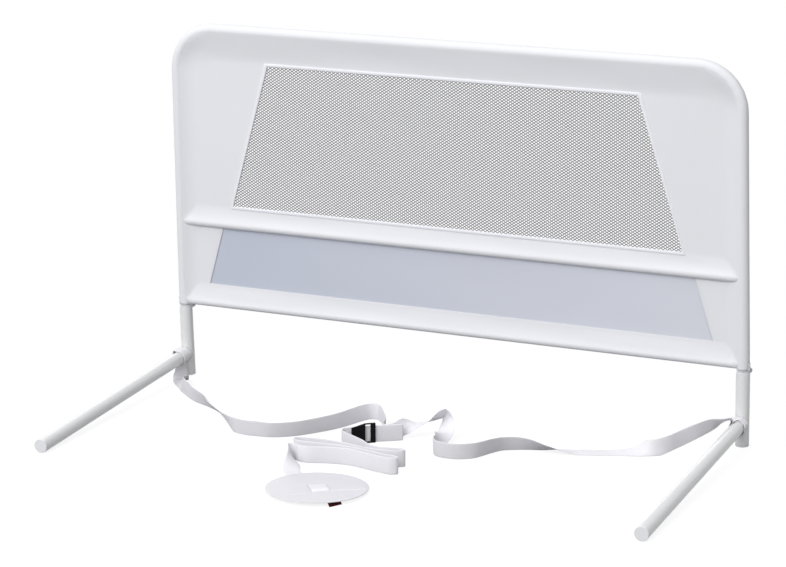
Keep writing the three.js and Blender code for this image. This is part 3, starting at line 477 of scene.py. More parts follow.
def piece(name, surfaces, weld=False, sharp=40):
    """One object from surfaces of grid(), smooth but for edges above an angle in degrees."""
    starts = np.cumsum([0] + [len(points) for points, _, _ in surfaces[:-1]])
    points = np.concatenate([points for points, _, _ in surfaces])
    faces = np.concatenate([faces + start for (_, faces, _), start in zip(surfaces, starts)])
    uv = np.concatenate([loops for _, _, loops in surfaces])
    used, faces = np.unique(faces, return_inverse=True)
    mesh = bpy.data.meshes.new(name)
    mesh.from_pydata(points[used], [], faces.reshape(-1, 4))
    mesh.uv_layers.new(name="UVMap").data.foreach_set("uv", uv.ravel().astype(np.float32))
    if weld:
        shell = bmesh.new()
        shell.from_mesh(mesh)
        bmesh.ops.remove_doubles(shell, verts=shell.verts, dist=WELD_GAP)
        bmesh.ops.recalc_face_normals(shell, faces=shell.faces)
        shell.to_mesh(mesh)
        shell.free()
    mesh.validate()
    mesh.shade_smooth()
    mesh.set_sharp_from_angle(angle=np.radians(sharp))
    made = bpy.data.objects.new(name, mesh)
    bpy.context.scene.collection.objects.link(made)
    return made


def thicken(made, thickness, offset):
    """Gives a sheet its thickness: offset -1 inward, 0 to both sides."""
    solid = made.modifiers.new("Cloth", "SOLIDIFY")
    solid.thickness = thickness
    solid.offset = offset
    return made


def guard_run(foot):
    """The axis of the guard's tube from its left foot round to its right foot, as (x, z) points
    closely spaced, with unit normals towards the guard's middle. Each leg is upright, then leans in
    to the top rail, and an arc of the corner radius joins the two."""
    knee = np.array([POST_X, TAPER_START])
    corner = np.array([POST_X - TAPER_IN, TOP_HEIGHT])
    rising = unit(corner - knee)
    turn = np.arccos(-rising[0])
    start = corner - rising * CORNER_RADIUS * np.tan(turn / 2)
    inward = np.array([-rising[1], rising[0]])
    angles = np.linspace(0, turn, CORNER_STEPS)[:, None]
    arm = inward * np.cos(angles) - rising * np.sin(angles)
    arc = start + CORNER_RADIUS * (inward - arm)
    half = np.concatenate([[[POST_X, foot], knee], arc, [[0, TOP_HEIGHT]]])
    whole = np.concatenate([half * (-1, 1), half[-2::-1]])
    long = lengths_along(whole)[-1]
    points = resampled(whole, np.linspace(0, long, int(long / RUN_STEP)))
    along = unit(np.gradient(points, axis=0))
    return points, np.stack([along[:, 1], -along[:, 0]], axis=-1)


def leg_x(height):
    """Place across of the right leg's axis at a height."""
    share = np.maximum(0, (height - TAPER_START) / (TOP_HEIGHT - TAPER_START))
    return POST_X - TAPER_IN * share


def round_section(radius, notch=0.0):
    """A circle as (inward, front) points from the inner side over the front to the outer side and
    back, with extra points at both edges of a notch in the outer side."""
    half = np.arcsin(notch / radius) if notch else 0.1
    arcs = [
        np.linspace(0, np.pi - half, SIDE_POINTS),
        np.linspace(np.pi - half, np.pi + half, NOTCH_POINTS)[1:],
        np.linspace(np.pi + half, 2 * np.pi, SIDE_POINTS)[1:],
    ]
    angles = np.concatenate(arcs)
    return radius * np.stack([np.cos(angles), np.sin(angles)], axis=-1)


def sleeve(settings):
    """Sleeve over the bent tube: a circle carried along the guard's run, narrowed and widened a
    little by a sine along the run where it is bent. Quads over the release buttons are left out."""
    run = guard_run(HEM_BOTTOM)
    long = lengths_along(run[0])[-1]
    notch = BUTTON_NOTCH_TOP - HEM_BOTTOM
    foot = np.linspace(0, notch, FOOT_POINTS)
    middle = np.linspace(notch, long - notch, SLEEVE_STEPS)[1:-1]
    at = np.concatenate([foot, middle, long - foot[::-1]])
    places, inward = at_lengths(run, at)
    section = round_section(SLEEVE_RADIUS, BUTTON_NOTCH_HALF)
    turn = np.abs(np.gradient(np.unwrap(np.arctan2(inward[:, 1], inward[:, 0])), at))
    ripple = 1 + RIPPLE_SHARE * turn / turn.max() * np.sin(2 * np.pi * at / RIPPLE_PITCH)
    deep, front = np.moveaxis(section * ripple[:, None, None], -1, 0)
    spot = places[:, None] + inward[:, None] * deep[..., None]
    points = on_guard(spot[..., 0], front, spot[..., 1])
    around = lengths_along(section)
    uv = lengths_map(at, around)
    keep = np.ones((len(at) - 1, len(section) - 1), bool)
    keep[: FOOT_POINTS - 1, NOTCH] = False
    keep[1 - FOOT_POINTS :, NOTCH] = False
    made = piece("cover_sleeve", [grid(points, uv, keep=keep)], weld=True)
    return thicken(made, settings.cloth_thickness, -1), (around[-1], long)


def pocket(name, height, settings):
    """Pocket round a bar: a circle carried straight across between the legs, to just short of their
    axes, so that a pressed button doesn't reach it."""
    section = round_section(POCKET_RADIUS)
    reach = leg_x(height) - BUTTON_ROOM
    x = np.linspace(-reach, reach, POCKET_STEPS)
    points = on_guard(x[:, None], section[None, :, 1], (height + section[:, 0])[None])
    around = lengths_along(section)
    made = piece(name, [grid(points, lengths_map(x, around))], weld=True)
    return thicken(made, settings.cloth_thickness, -1), (around[-1], 2 * reach)


def trapezoid(window, grow):
    """A window's four corners as (x, z), from the bottom left to the right, grown outward."""
    top, top_half, bottom, bottom_half = window
    return np.array([
        (-bottom_half - grow, bottom - grow),
        (bottom_half + grow, bottom - grow),
        (top_half + grow, top + grow),
        (-top_half - grow, top + grow),
    ])


def sides_of(corners, counts):
    """Points round a closed outline: each side in equal steps, without its last point."""
    ends = np.roll(corners, -1, axis=0)
    runs = []
    for start, end, count in zip(corners, ends, counts):
        share = np.linspace(0, 1, count, endpoint=False)[:, None]
        runs.append(start * (1 - share) + end * share)
    return np.concatenate(runs)


def flank(radius, start, lift, reach, rise):
    """How the cloth leaves a round sleeve for the flat panel, as a table of distance from the axis
    against distance in front: a quadratic curve from the spot where a straight line from start
    touches the circle, by start, which stands a lift above the panel, to reach. Nearer the axis
    it passes just under the sleeve."""
    high = rise + lift
    touch = np.arctan2(high, start) + np.arccos(radius / np.hypot(start, high))
    spot = radius * np.array([np.cos(touch), np.sin(touch)])
    t = np.linspace(0, 1, FLANK_STEPS)[:, None]
    curve = spot * (1 - t) ** 2 + 2 * t * (1 - t) * np.array([start, high]) + t**2 * (reach, rise)
    return np.concatenate([[(0, radius - UNDER_SLEEVE)], curve]).T


def soft_waves(x, z, waves):
    """Sum of sines of the place across and the height."""
    return sum(depth * np.sin(x / wide + z / high) for depth, wide, high in waves)


def panel_front(x, z, rise):
    """How far the panel's front stands in front of the guard's middle plane: the highest of the
    cloth's ways down from the tube and from each bar, rounded where two are alike (an eighth-power
    mean). The distance from the tube is that of a rectangle with round corners."""
    side = leg_x(z) - np.abs(x)
    top = TOP_HEIGHT - z
    corner = CORNER_RADIUS - np.hypot(CORNER_RADIUS - side, CORNER_RADIUS - top)
    bent = (side < CORNER_RADIUS) & (top < CORNER_RADIUS)
    from_tube = np.where(bent, corner, np.minimum(side, top))
    topward = smooth_step((side - top) / CORNER_BLEND + 0.5)
    above, below = NET_WINDOW[2] - MIDDLE_BAR, MIDDLE_BAR - LOWER_WINDOW[0]
    over_hem = LOWER_WINDOW[2] - HEM_BAR
    beside_leg = flank(SLEEVE_RADIUS, LEG_SWEEP, 0, LEG_REACH, rise)
    under_top = flank(SLEEVE_RADIUS, TOP_SWEEP, 0, TOP_HEIGHT - NET_WINDOW[0], rise)
    tube_front = [np.interp(from_tube, *way) for way in (beside_leg, under_top)]
    ways = [
        (z - MIDDLE_BAR, flank(POCKET_RADIUS, BAR_SWEEP, BAR_LIFT, above, rise)),
        (MIDDLE_BAR - z, flank(POCKET_RADIUS, UNDER_BAR_SWEEP, 0, below, rise)),
        (z - HEM_BAR, flank(POCKET_RADIUS, BAR_SWEEP, HEM_LIFT, over_hem, rise)),
    ]
    high = tube_front[0] * (1 - topward) + tube_front[1] * topward - rise
    total = (high / SLEEVE_RADIUS) ** 8
    for away, (distance, front) in ways:
        high = np.where(away < 0, 0, np.interp(away, distance, front) - rise)
        total = total + (high / SLEEVE_RADIUS) ** 8
    return rise + SLEEVE_RADIUS * total**0.125


def panel(settings):
    """Panel: a double ring of cloth round each window. Its places run straight from the window's
    edge (0) to the axis of the tube or bar (1), each layer as far from the middle plane as
    panel_front() says. Soft folds, two sines across and up, lift the middle of the ring and
    fade to nothing at both edges."""
    run = guard_run(HEM_BAR)
    long = lengths_along(run[0])[-1]
    up_leg = MIDDLE_BAR - HEM_BAR
    bend = np.argmin(np.abs(run[1][: len(run[0]) // 2] @ (1, 1)))
    corner_at = lengths_along(run[0])[bend]

    def beside_tube(start, end, count):
        return resampled(run[0], np.linspace(start, end, count, endpoint=False))

    middle, low = leg_x(MIDDLE_BAR), leg_x(HEM_BAR)
    across, up = RING_STEPS[:2]
    upper = np.concatenate([
        sides_of(np.array([(-middle, MIDDLE_BAR), (middle, MIDDLE_BAR)]), (across, 0)),
        beside_tube(long - up_leg, long - corner_at, up),
        beside_tube(long - corner_at, corner_at, across),
        beside_tube(corner_at, up_leg, up),
    ])
    corners = [(-low, HEM_BAR), (low, HEM_BAR), (middle, MIDDLE_BAR), (-middle, MIDDLE_BAR)]
    surfaces = []
    area = 0
    rise = settings.panel_thickness / 2
    share = np.linspace(0, 1, PANEL_STEPS)[:, None, None]
    lower = sides_of(np.array(corners), RING_STEPS)
    for window, outer in ((NET_WINDOW, upper), (LOWER_WINDOW, lower)):
        inner = sides_of(trapezoid(window, 0), RING_STEPS)
        spot = inner * (1 - share) + outer * share
        x, z = spot[..., 0], spot[..., 1]
        fade = np.sin(np.pi * share[..., 0]) ** 2
        lift = settings.fold_depth * soft_waves(x, z, PANEL_WAVES) * fade
        front = panel_front(x, z, rise)
        rows = np.concatenate([spot[::-1], spot])
        layers = np.concatenate([(front + lift)[::-1], lift - front])
        points = on_guard(rows[..., 0], layers, rows[..., 1])
        surfaces.append(grid(points, closed(rows, 1), closed_columns=True))
        area += 2 * (ring_area(outer) - ring_area(inner))
    made = piece("cover_panel", surfaces, weld=True, sharp=50)
    return thicken(made, settings.cloth_thickness * PANEL_CLOTH_SHARE, -1), area


def ring_area(outline):
    """Area inside a closed outline of (x, z) points."""
    x, z = outline.T
    return abs(np.dot(x, np.roll(z, -1)) - np.dot(z, np.roll(x, -1))) / 2


def net(settings):
    """Net: a lattice of diamond gaps, each row half a pitch across from the last. Every crossing is
    a small diamond whose left and right corners stand forward and whose upper and lower corners
    lie back, and a yarn joins it to the crossings up left and up right, so each gap has four
    sides."""
    pitch, row = settings.gap_pitch, settings.row_pitch
    slant = np.hypot(pitch / 2, row)
    open_share = 1 - settings.yarn_width / (pitch * row / slant)
    half_x, half_z = (1 - open_share) * pitch / 2, (1 - open_share) * row
    top, top_half, bottom, bottom_half = NET_WINDOW
    rows = int((top - bottom + 2 * NET_MARGIN) / row)
    columns = int(2 * (bottom_half + NET_MARGIN) / pitch)
    r, c = np.meshgrid(np.arange(rows), np.arange(columns), indexing="ij")
    x = (c - columns / 2 + (r % 2) / 2) * pitch
    z = bottom - NET_MARGIN + r * row
    limit = bottom_half + NET_MARGIN + (top_half - bottom_half) * (z - bottom) / (top - bottom)
    inside = np.abs(x) < limit
    lift = settings.relief / 2
    corners = [(half_x, lift, 0), (0, -lift, half_z), (-half_x, lift, 0), (0, -lift, -half_z)]
    centres = np.stack([x, np.full_like(x, -NET_BEHIND), z], axis=-1)
    flat = centres[:, :, None] + np.array(corners)
    points = on_guard(flat[..., 0], flat[..., 1], flat[..., 2]).reshape(-1, 3)
    order = np.arange(rows * columns * 4).reshape(rows, columns, 4)
    east, north, west, south = np.moveaxis(order, -1, 0)
    faces = [order[inside]]
    for step, near, far in ((0, east, west), (-1, west, east)):
        beside = c + (r % 2) + step
        upper = (np.minimum(r + 1, rows - 1), np.clip(beside, 0, columns - 1))
        joined = inside & (r + 1 < rows) & (beside >= 0) & (beside < columns) & inside[upper]
        yarn = np.stack([near, south[upper], far[upper], north], axis=-1)[joined]
        faces.append(yarn if step == 0 else yarn[:, ::-1])
    faces = np.concatenate(faces)
    uv = flat[..., [0, 2]].reshape(-1, 2)[faces]
    made = piece("window_net", [(points, faces, uv)], sharp=180)
    return made, (1 - open_share**2) * ring_area(trapezoid(NET_WINDOW, NET_MARGIN))


def superellipse(half_wide, half_thick, steps, powers):
    """A closed section between an ellipse and a rectangle, as (across, through): the cosine and
    the sine of the turn, each raised to its own power."""
    turn = np.linspace(0, 2 * np.pi, steps, endpoint=False)
    parts = zip((half_wide, half_thick), (np.cos(turn), np.sin(turn)), powers)
    return [half * np.sign(way) * np.abs(way) ** power for half, way, power in parts]


def binding():
    """Tape sewn round the upper window: a superellipse section, its corners mitred, carried round
    the window. It wraps the panel's edge, front and back, with the net between."""
    half = (BINDING_OUT + BINDING_IN) / 2
    across, front = superellipse(half, (BINDING_FRONT + BINDING_BACK) / 2, *TAPE_SECTION)
    grow = (BINDING_OUT - BINDING_IN) / 2 + across
    front = front + (BINDING_FRONT - BINDING_BACK) / 2
    rings = np.stack([sides_of(trapezoid(NET_WINDOW, each), TAPE_STEPS) for each in grow], 1)
    points = on_guard(rings[..., 0], front[None], rings[..., 1])
    along = lengths_along(closed(rings[:, 0]))
    uv = lengths_map(along, np.linspace(0, 4 * half, len(across) + 1))
    return piece("window_binding", [grid(points, uv, True, True)], weld=True, sharp=70)


def lower_window():
    """Thin cloth of the lower window: a flat sheet behind the panel with long shallow waves, two
    sines across and up that fade out at its sewn edges."""
    corners = trapezoid(LOWER_WINDOW, LOWER_MARGIN)
    up = np.linspace(0, 1, WINDOW_STEPS[0])[:, None]
    across = np.linspace(0, 1, WINDOW_STEPS[1])[None]
    half = -(corners[0, 0] * (1 - up) + corners[3, 0] * up)
    x = half * (2 * across - 1)
    z = corners[0, 1] * (1 - up) + corners[3, 1] * up + 0 * across
    fade = np.sin(np.pi * up) * np.sin(np.pi * across) ** 0.5
    points = on_guard(x, -LOWER_BEHIND - soft_waves(x, z, LOWER_WAVES) * fade, z)
    uv = np.stack([x, z], axis=-1)
    made = piece("lower_window_cloth", [grid(points, uv)])
    return thicken(made, LOWER_CLOTH, 0), ring_area(corners)


def stitches(name, rows, pitch, size):
    """Stitches: a long low lozenge of six faces, repeated along each row of (points, outward
    normals) at one pitch. Its axes are the row's direction, the normal and their cross product."""
    length, width = size
    ring = np.array([(length, 0), (0, width), (-length, 0), (0, -width)]) / 2
    low = np.column_stack([ring, np.full(4, -width / 2)])
    high = np.column_stack([0.6 * ring, np.full(4, width / 2)])
    tips = np.concatenate([low, high])
    corners = np.array([
        (0, 1, 5, 4), (1, 2, 6, 5), (2, 3, 7, 6), (3, 0, 4, 7), (4, 5, 6, 7), (3, 2, 1, 0)
    ])
    surfaces = []
    for points, outward in rows:
        long = lengths_along(points)[-1]
        at = np.arange(pitch / 2, long, pitch)
        centre = resampled(points, at)
        ahead = resampled(points, np.minimum(at + pitch / 4, long))
        behind = resampled(points, np.maximum(at - pitch / 4, 0))
        along = unit(ahead - behind)
        up = unit(outward - along * (along @ outward)[:, None])
        axes = np.stack([along, np.cross(up, along), up], axis=1)
        made = centre[:, None] + tips @ axes
        faces = (corners + (np.arange(len(at)) * len(tips))[:, None, None]).reshape(-1, 4)
        surfaces.append((made.reshape(-1, 3), faces, np.zeros((len(faces), 4, 2))))
    return piece(name, surfaces, sharp=180)


def cover_seams():
    """Rows of stitches along the binding, front and back, and along the lower window's edge, as
    (points, outward normal)."""
    rows = []
    for side in (1, -1):
        outward = upright(np.array([0, -side, 0])) - upright(np.zeros(3))
        depth = BINDING_FRONT if side > 0 else BINDING_BACK
        lines = ((NET_WINDOW, TAPE_SEAM, depth - SEAM_SUNK), (LOWER_WINDOW, *LOWER_SEAM))
        for window, grow, front in lines:
            ring = closed(sides_of(trapezoid(window, grow), SEAM_STEPS))
            rows.append((on_guard(ring[:, 0], side * front, ring[:, 1]), outward))
    return rows


def smooth_run(points, at, knots):
    """A smooth run through points at knots: on each span a cubic whose slopes at its ends are the
    neighbouring spans' slopes, each weighted by the other span's length."""
    spans = np.diff(knots)[:, None]
    slopes = np.diff(points, axis=0) / spans
    inner = (slopes[:-1] * spans[1:] + slopes[1:] * spans[:-1]) / (spans[:-1] + spans[1:])
    tangents = np.concatenate([slopes[:1], inner, slopes[-1:]])
    span = np.clip(np.searchsorted(knots, at, side="right") - 1, 0, len(spans) - 1)
    size = spans[span]
    t = (at[:, None] - knots[span][:, None]) / size
    start, end = points[span], points[span + 1]
    return (
        (2 * t**3 - 3 * t**2 + 1) * start
        + (t**3 - 2 * t**2 + t) * size * tangents[span]
        + (3 * t**2 - 2 * t**3) * end
        + (t**3 - t**2) * size * tangents[span + 1]
    )


def band_section(width, thickness):
    """Section of a flat woven band, nearly a rectangle."""
    return superellipse(width / 2, thickness / 2, *WEBBING_SECTION)


def across_map(along, wide):
    """UV map of a band: the place across it, front and back alike, and the length along it."""
    return lengths_map(along, closed(wide))[..., ::-1]


def ribbon(middles, across, through, section, ends=True):
    """The two surfaces of a band: its section carried along its middle line, and the flat ends."""
    wide, thick = section
    points = middles[:, None] + across[:, None] * wide[:, None] + through[:, None] * thick[:, None]
    along = lengths_along(middles if ends else closed(middles))
    uv = across_map(along, wide)
    surfaces = [grid(points, uv, closed_rows=not ends, closed_columns=True)]
    if ends:
        for at, order in ((0, 1), (-1, -1)):
            cap = np.stack([middles[at] + across[at] * wide[:, None], points[at]])
            surfaces.append(grid(cap[::order], uv[[at, at]], closed_columns=True))
    return surfaces


def webbing(name, route, width, thickness, step):
    """Webbing laid along a route of lower and upper edges. The middle line and the direction across
    run smoothly through the stations, the band's thickness stands square to both, and each
    station is lifted where its lower corner would go into the ground. Gives the piece and the
    middle line."""
    edges = np.reshape(route, (-1, 2, 3)) * MM + FLOOR_SHIFT
    middle = edges.mean(axis=1)
    knots = lengths_along(middle)
    at = np.linspace(0, knots[-1], int(knots[-1] / step))
    line = smooth_run(middle, at, knots)
    across = smooth_run(unit(edges[:, 1] - edges[:, 0]), at, knots)
    along = unit(np.gradient(line, axis=0))
    across = unit(across - along * np.sum(across * along, axis=-1, keepdims=True))
    through = np.cross(along, across)
    low = np.abs(across[:, 2]) * width / 2 + np.abs(through[:, 2]) * thickness / 2
    line[:, 2] += np.maximum(0, GROUND_GAP + low - line[:, 2])
    section = band_section(width, thickness)
    made = piece(name, ribbon(line, across, through, section), weld=True, sharp=60)
    return made, line


def arm_loop(name, side, bunch, fold, settings):
    """Loop of webbing sewn round an arm: the band's section carried round the arm. A bunched loop
    is narrower, pushed towards the post, waves in and out five times as it goes round and tips
    its edges in and out three times. A fold is a ridge that stands up at its upper left."""
    turn = np.linspace(0, 2 * np.pi, LOOP_STEPS, endpoint=False)[:, None]
    wide, thick = band_section(settings.width, settings.thickness)
    waves = LOOP_WAVE * (1 + np.sin(5 * turn))
    waves = waves + LOOP_FLARE * (settings.width / 2 + wide * np.sin(3 * turn))
    ridge = np.exp(-(((turn - FOLD_AT) / FOLD_SPREAD) ** 2)) * (0.8 - 0.3 * wide / settings.width)
    inner = ARM_RADIUS + GROUND_GAP + settings.thickness / 2
    away = inner + bunch * waves + fold * ridge + thick
    squeeze = 1 - bunch * (0.8 + 0.2 * np.sin(turn))
    back = -LOOP_START + squeeze * (wide - settings.width / 2)
    local = np.stack([away * np.cos(turn), back, away * np.sin(turn)], axis=-1)
    root = np.array([side * POST_X, 0, ARM_HEIGHT])
    points = upright(placed(local, -ARM_TILT, root))
    uv = across_map(np.linspace(0, 2 * np.pi * ARM_RADIUS, len(turn) + 1), wide)
    return piece(name, [grid(points, uv, True, True)], weld=True, sharp=60)


def turned_flat(points, turn):
    """Points turned about Z."""
    x, y, z = np.moveaxis(points, -1, 0)
    cosine, sine = np.cos(turn), np.sin(turn)
    return np.stack([x * cosine - y * sine, x * sine + y * cosine, z], axis=-1)


def in_buckle_frame(points):
    """Points of the band, put behind the buckle and then on the ground."""
    local = turned_flat(points, BAND_TURN) + BAND_BEHIND
    return turned_flat(local, BUCKLE_TURN) + BUCKLE_END + FLOOR_SHIFT


def buckle_band(settings):
    """Doubled band that holds the buckle: a flat ring of webbing on edge. Its middle line is a
    stadium, two straight runs joined by half circles."""
    half = (BAND_THICKNESS - settings.thickness) / 2
    centre_y = -BAND_THICKNESS / 2
    turn = np.linspace(-np.pi / 2, np.pi / 2, BAND_END_STEPS)
    ends = ((BAND_TO - half * 2, half), (BAND_FROM + half * 2, -half))
    outline = np.concatenate([
        np.stack([x + bend * np.cos(turn), centre_y + bend * np.sin(turn)], -1) for x, bend in ends
    ])
    corners = closed(outline)
    at = np.linspace(0, lengths_along(corners)[-1], BAND_STEPS, endpoint=False)
    flat = resampled(corners, at)
    along = unit(np.roll(flat, -1, axis=0) - np.roll(flat, 1, axis=0))
    rise = np.full(len(flat), settings.width / 2)
    middle = np.column_stack([flat, rise])
    through = np.column_stack([along[:, 1], -along[:, 0], 0 * rise])
    across = np.tile([0.0, 0.0, 1.0], (len(flat), 1))
    origin = in_buckle_frame(np.zeros(3))
    line = in_buckle_frame(middle)
    section = band_section(settings.width, settings.thickness)
    surfaces = ribbon(line, across, in_buckle_frame(through) - origin, section, ends=False)
    made = piece("buckle_band", surfaces, weld=True, sharp=60)
    outward = in_buckle_frame(np.array([0.0, 1.0, 0.0])) - origin
    rows = []
    for x in BAND_SEAMS:
        for face, sense in ((0, 1), (-BAND_THICKNESS, -1)):
            ends = (BAND_SEAM_MARGIN, settings.width - BAND_SEAM_MARGIN)
            rows.append((in_buckle_frame(np.array([(x, face, z) for z in ends])), outward * sense))
    sewn = stitches("band_stitching", rows, BAND_STITCH_PITCH, BAND_STITCH)
    return made, sewn


def plate_relief(x, y):
    """What is moulded into the plate's top: a narrow crease across it, beside the near slot, and a
    shallow hollow at the crease's right end."""
    bend = CREASE_PLACE + np.where(x < 0, *CREASE_SLOPES) * x
    crease = -CREASE_DEPTH * np.exp(-(((y - bend) / CREASE_WIDTH) ** 2))
    tilt = SLOPE_BEYOND * np.minimum(y - bend, 0)
    places = zip((x, y), HOLLOW_PLACE, HOLLOW_SIZE)
    dip = sum(((at - place) / size) ** 2 for at, place, size in places)
    hollow = -HOLLOW_DEPTH * np.exp(-(dip**2))
    rim = smooth_step((PLATE_RADIUS - np.hypot(x, y)) / RIM_FADE)
    return (crease + tilt + hollow) * rim


def plate():
    """Round plate: rings from the middle of the top out to the rim and back under to the middle of
    the underside. The top is a low crown that falls to a rounded rim, plus the moulded relief.
    The slots are cut through."""
    out = np.concatenate([np.linspace(0, PLATE_FLAT, PLATE_RINGS), PLATE_RIM])
    turn = np.linspace(0, 2 * np.pi, PLATE_SPOKES, endpoint=False)
    radius = np.concatenate([out, PLATE_UNDER])[:, None]
    x, y = radius * np.cos(turn), radius * np.sin(turn)
    top = np.interp(radius, PLATE_STEPS, PLATE_HEIGHTS) + plate_relief(x, y)
    z = np.where((np.arange(len(radius)) < len(out))[:, None], top, 0)
    points = in_plate_frame(np.stack([x, y, z], axis=-1))
    uv = closed(np.stack([x, y], axis=-1), 1)
    made = piece("anchor_plate", [grid(points, uv, closed_columns=True)], weld=True)
    slot = np.array([(-1, -1), (1, -1), (1, 1), (-1, 1)]) * np.array(SLOT_SIZE) / 2
    boxes = [box_points(slot + (0, place), -CUT_BELOW, CUT_ABOVE) for place in SLOT_PLACES]
    boxes = [box_surface(in_plate_frame(points)) for points in boxes]
    tool = piece("slot_tool", boxes, weld=True)
    cut = made.modifiers.new("Slots", "BOOLEAN")
    cut.object = tool
    cut.solver = "EXACT"
    graph = bpy.context.evaluated_depsgraph_get()
    finished = bpy.data.meshes.new_from_object(made.evaluated_get(graph))
    made.modifiers.clear()
    made.data = finished
    bpy.data.objects.remove(tool)
    finished.set_sharp_from_angle(angle=np.radians(30))
    return made


def in_plate_frame(points):
    """Points of the plate, turned and tilted as it lies on the ground."""
    matrix = Matrix.Rotation(PLATE_TILT, 3, PLATE_TILT_AXIS) @ Matrix.Rotation(PLATE_TURN, 3, "Z")
    return points @ np.array(matrix).T + PLATE_CENTRE + FLOOR_SHIFT


# Finishes


def add_node(tree, kind, inputs=(), **settings):
    """Adds a node. inputs gives each socket, by name or number, a value or a link."""
    made = tree.nodes.new(kind)
    for name, value in settings.items():
        setattr(made, name, value)
    for socket, value in dict(inputs).items():
        if isinstance(value, bpy.types.NodeSocket):
            tree.links.new(value, made.inputs[socket])
        else:
            made.inputs[socket].default_value = value
    return made


def empty_tree(block):
    """The node tree of a new material or world, without its nodes."""
    block.use_nodes = True
    block.node_tree.nodes.clear()
    return block.node_tree


def maths(tree, operation, *values):
    """What a math node makes of values or links."""
    return add_node(tree, "ShaderNodeMath", enumerate(values), operation=operation).outputs[0]


def finish(name, colour, height=None, tint=None, bump=0.1, **sockets):
    """A material on one Principled shader. height and tint build patterns in its tree: height feeds
    a bump of that strength, and tint gives a second colour and its share."""
    material = bpy.data.materials.new(name)
    tree = empty_tree(material)
    inputs = {socket.replace("_", " "): value for socket, value in sockets.items()}
    if tint is None:
        inputs["Base Color"] = tuple(colour)
    else:
        share, second = tint(tree, colour)
        colours = {0: share, 6: tuple(colour), 7: tuple(second)}
        inputs["Base Color"] = add_node(tree, "ShaderNodeMix", colours, data_type="RGBA").outputs[2]
    if height is not None:
        relief = add_node(tree, "ShaderNodeBump", {
            "Height": height(tree), "Strength": bump, "Distance": 0.5 * MM
        })
        inputs["Normal"] = relief.outputs[0]
    shader = add_node(tree, "ShaderNodeBsdfPrincipled", inputs)
    add_node(tree, "ShaderNodeOutputMaterial", {"Surface": shader.outputs[0]})
    return material


def weave(across, along, slant=0.0):
    """Height pattern of a woven cloth on the piece's own UV map, in metres: the product of a sine
    across and a sine along, a thread apart each way. A slant turns the along threads to twill."""

    def build(tree):
        place = add_node(tree, "ShaderNodeUVMap")
        parts = add_node(tree, "ShaderNodeSeparateXYZ", {0: place.outputs[0]})
        lean = maths(tree, "MULTIPLY_ADD", parts.outputs[0], slant, parts.outputs[1])
        waves = []
        for source, spacing in ((parts.outputs[0], across), (lean, along)):
            turns = maths(tree, "MULTIPLY", source, 2 * np.pi / spacing)
            waves.append(maths(tree, "SINE", turns))
        return maths(tree, "MULTIPLY", *waves)

    return build


def clouds(size):
    """Soft noise on Object coordinates whose patches are about size across."""

    def build(tree):
        place = add_node(tree, "ShaderNodeTexCoord")
        inputs = {"Vector": place.outputs["Object"], "Scale": 1 / size, "Detail": 3.0}
        return add_node(tree, "ShaderNodeTexNoise", inputs).outputs[0]

    return build


def darker_patches(size, darkest):
    def build(tree, colour):
        return clouds(size)(tree), tuple(part * darkest for part in colour[:3]) + (1.0,)

    return build


# Painted light: mixes from the given colour at the left to a lighter one at the right, where more
# light falls
def painted_light_left_to_right(right, reach):
    def build(tree, colour):
        place = add_node(tree, "ShaderNodeTexCoord")
        parts = add_node(tree, "ShaderNodeSeparateXYZ", {0: place.outputs["Object"]})
        span = {"Value": parts.outputs[0], "From Min": -reach, "From Max": reach}
        return add_node(tree, "ShaderNodeMapRange", span).outputs[0], right

    return build


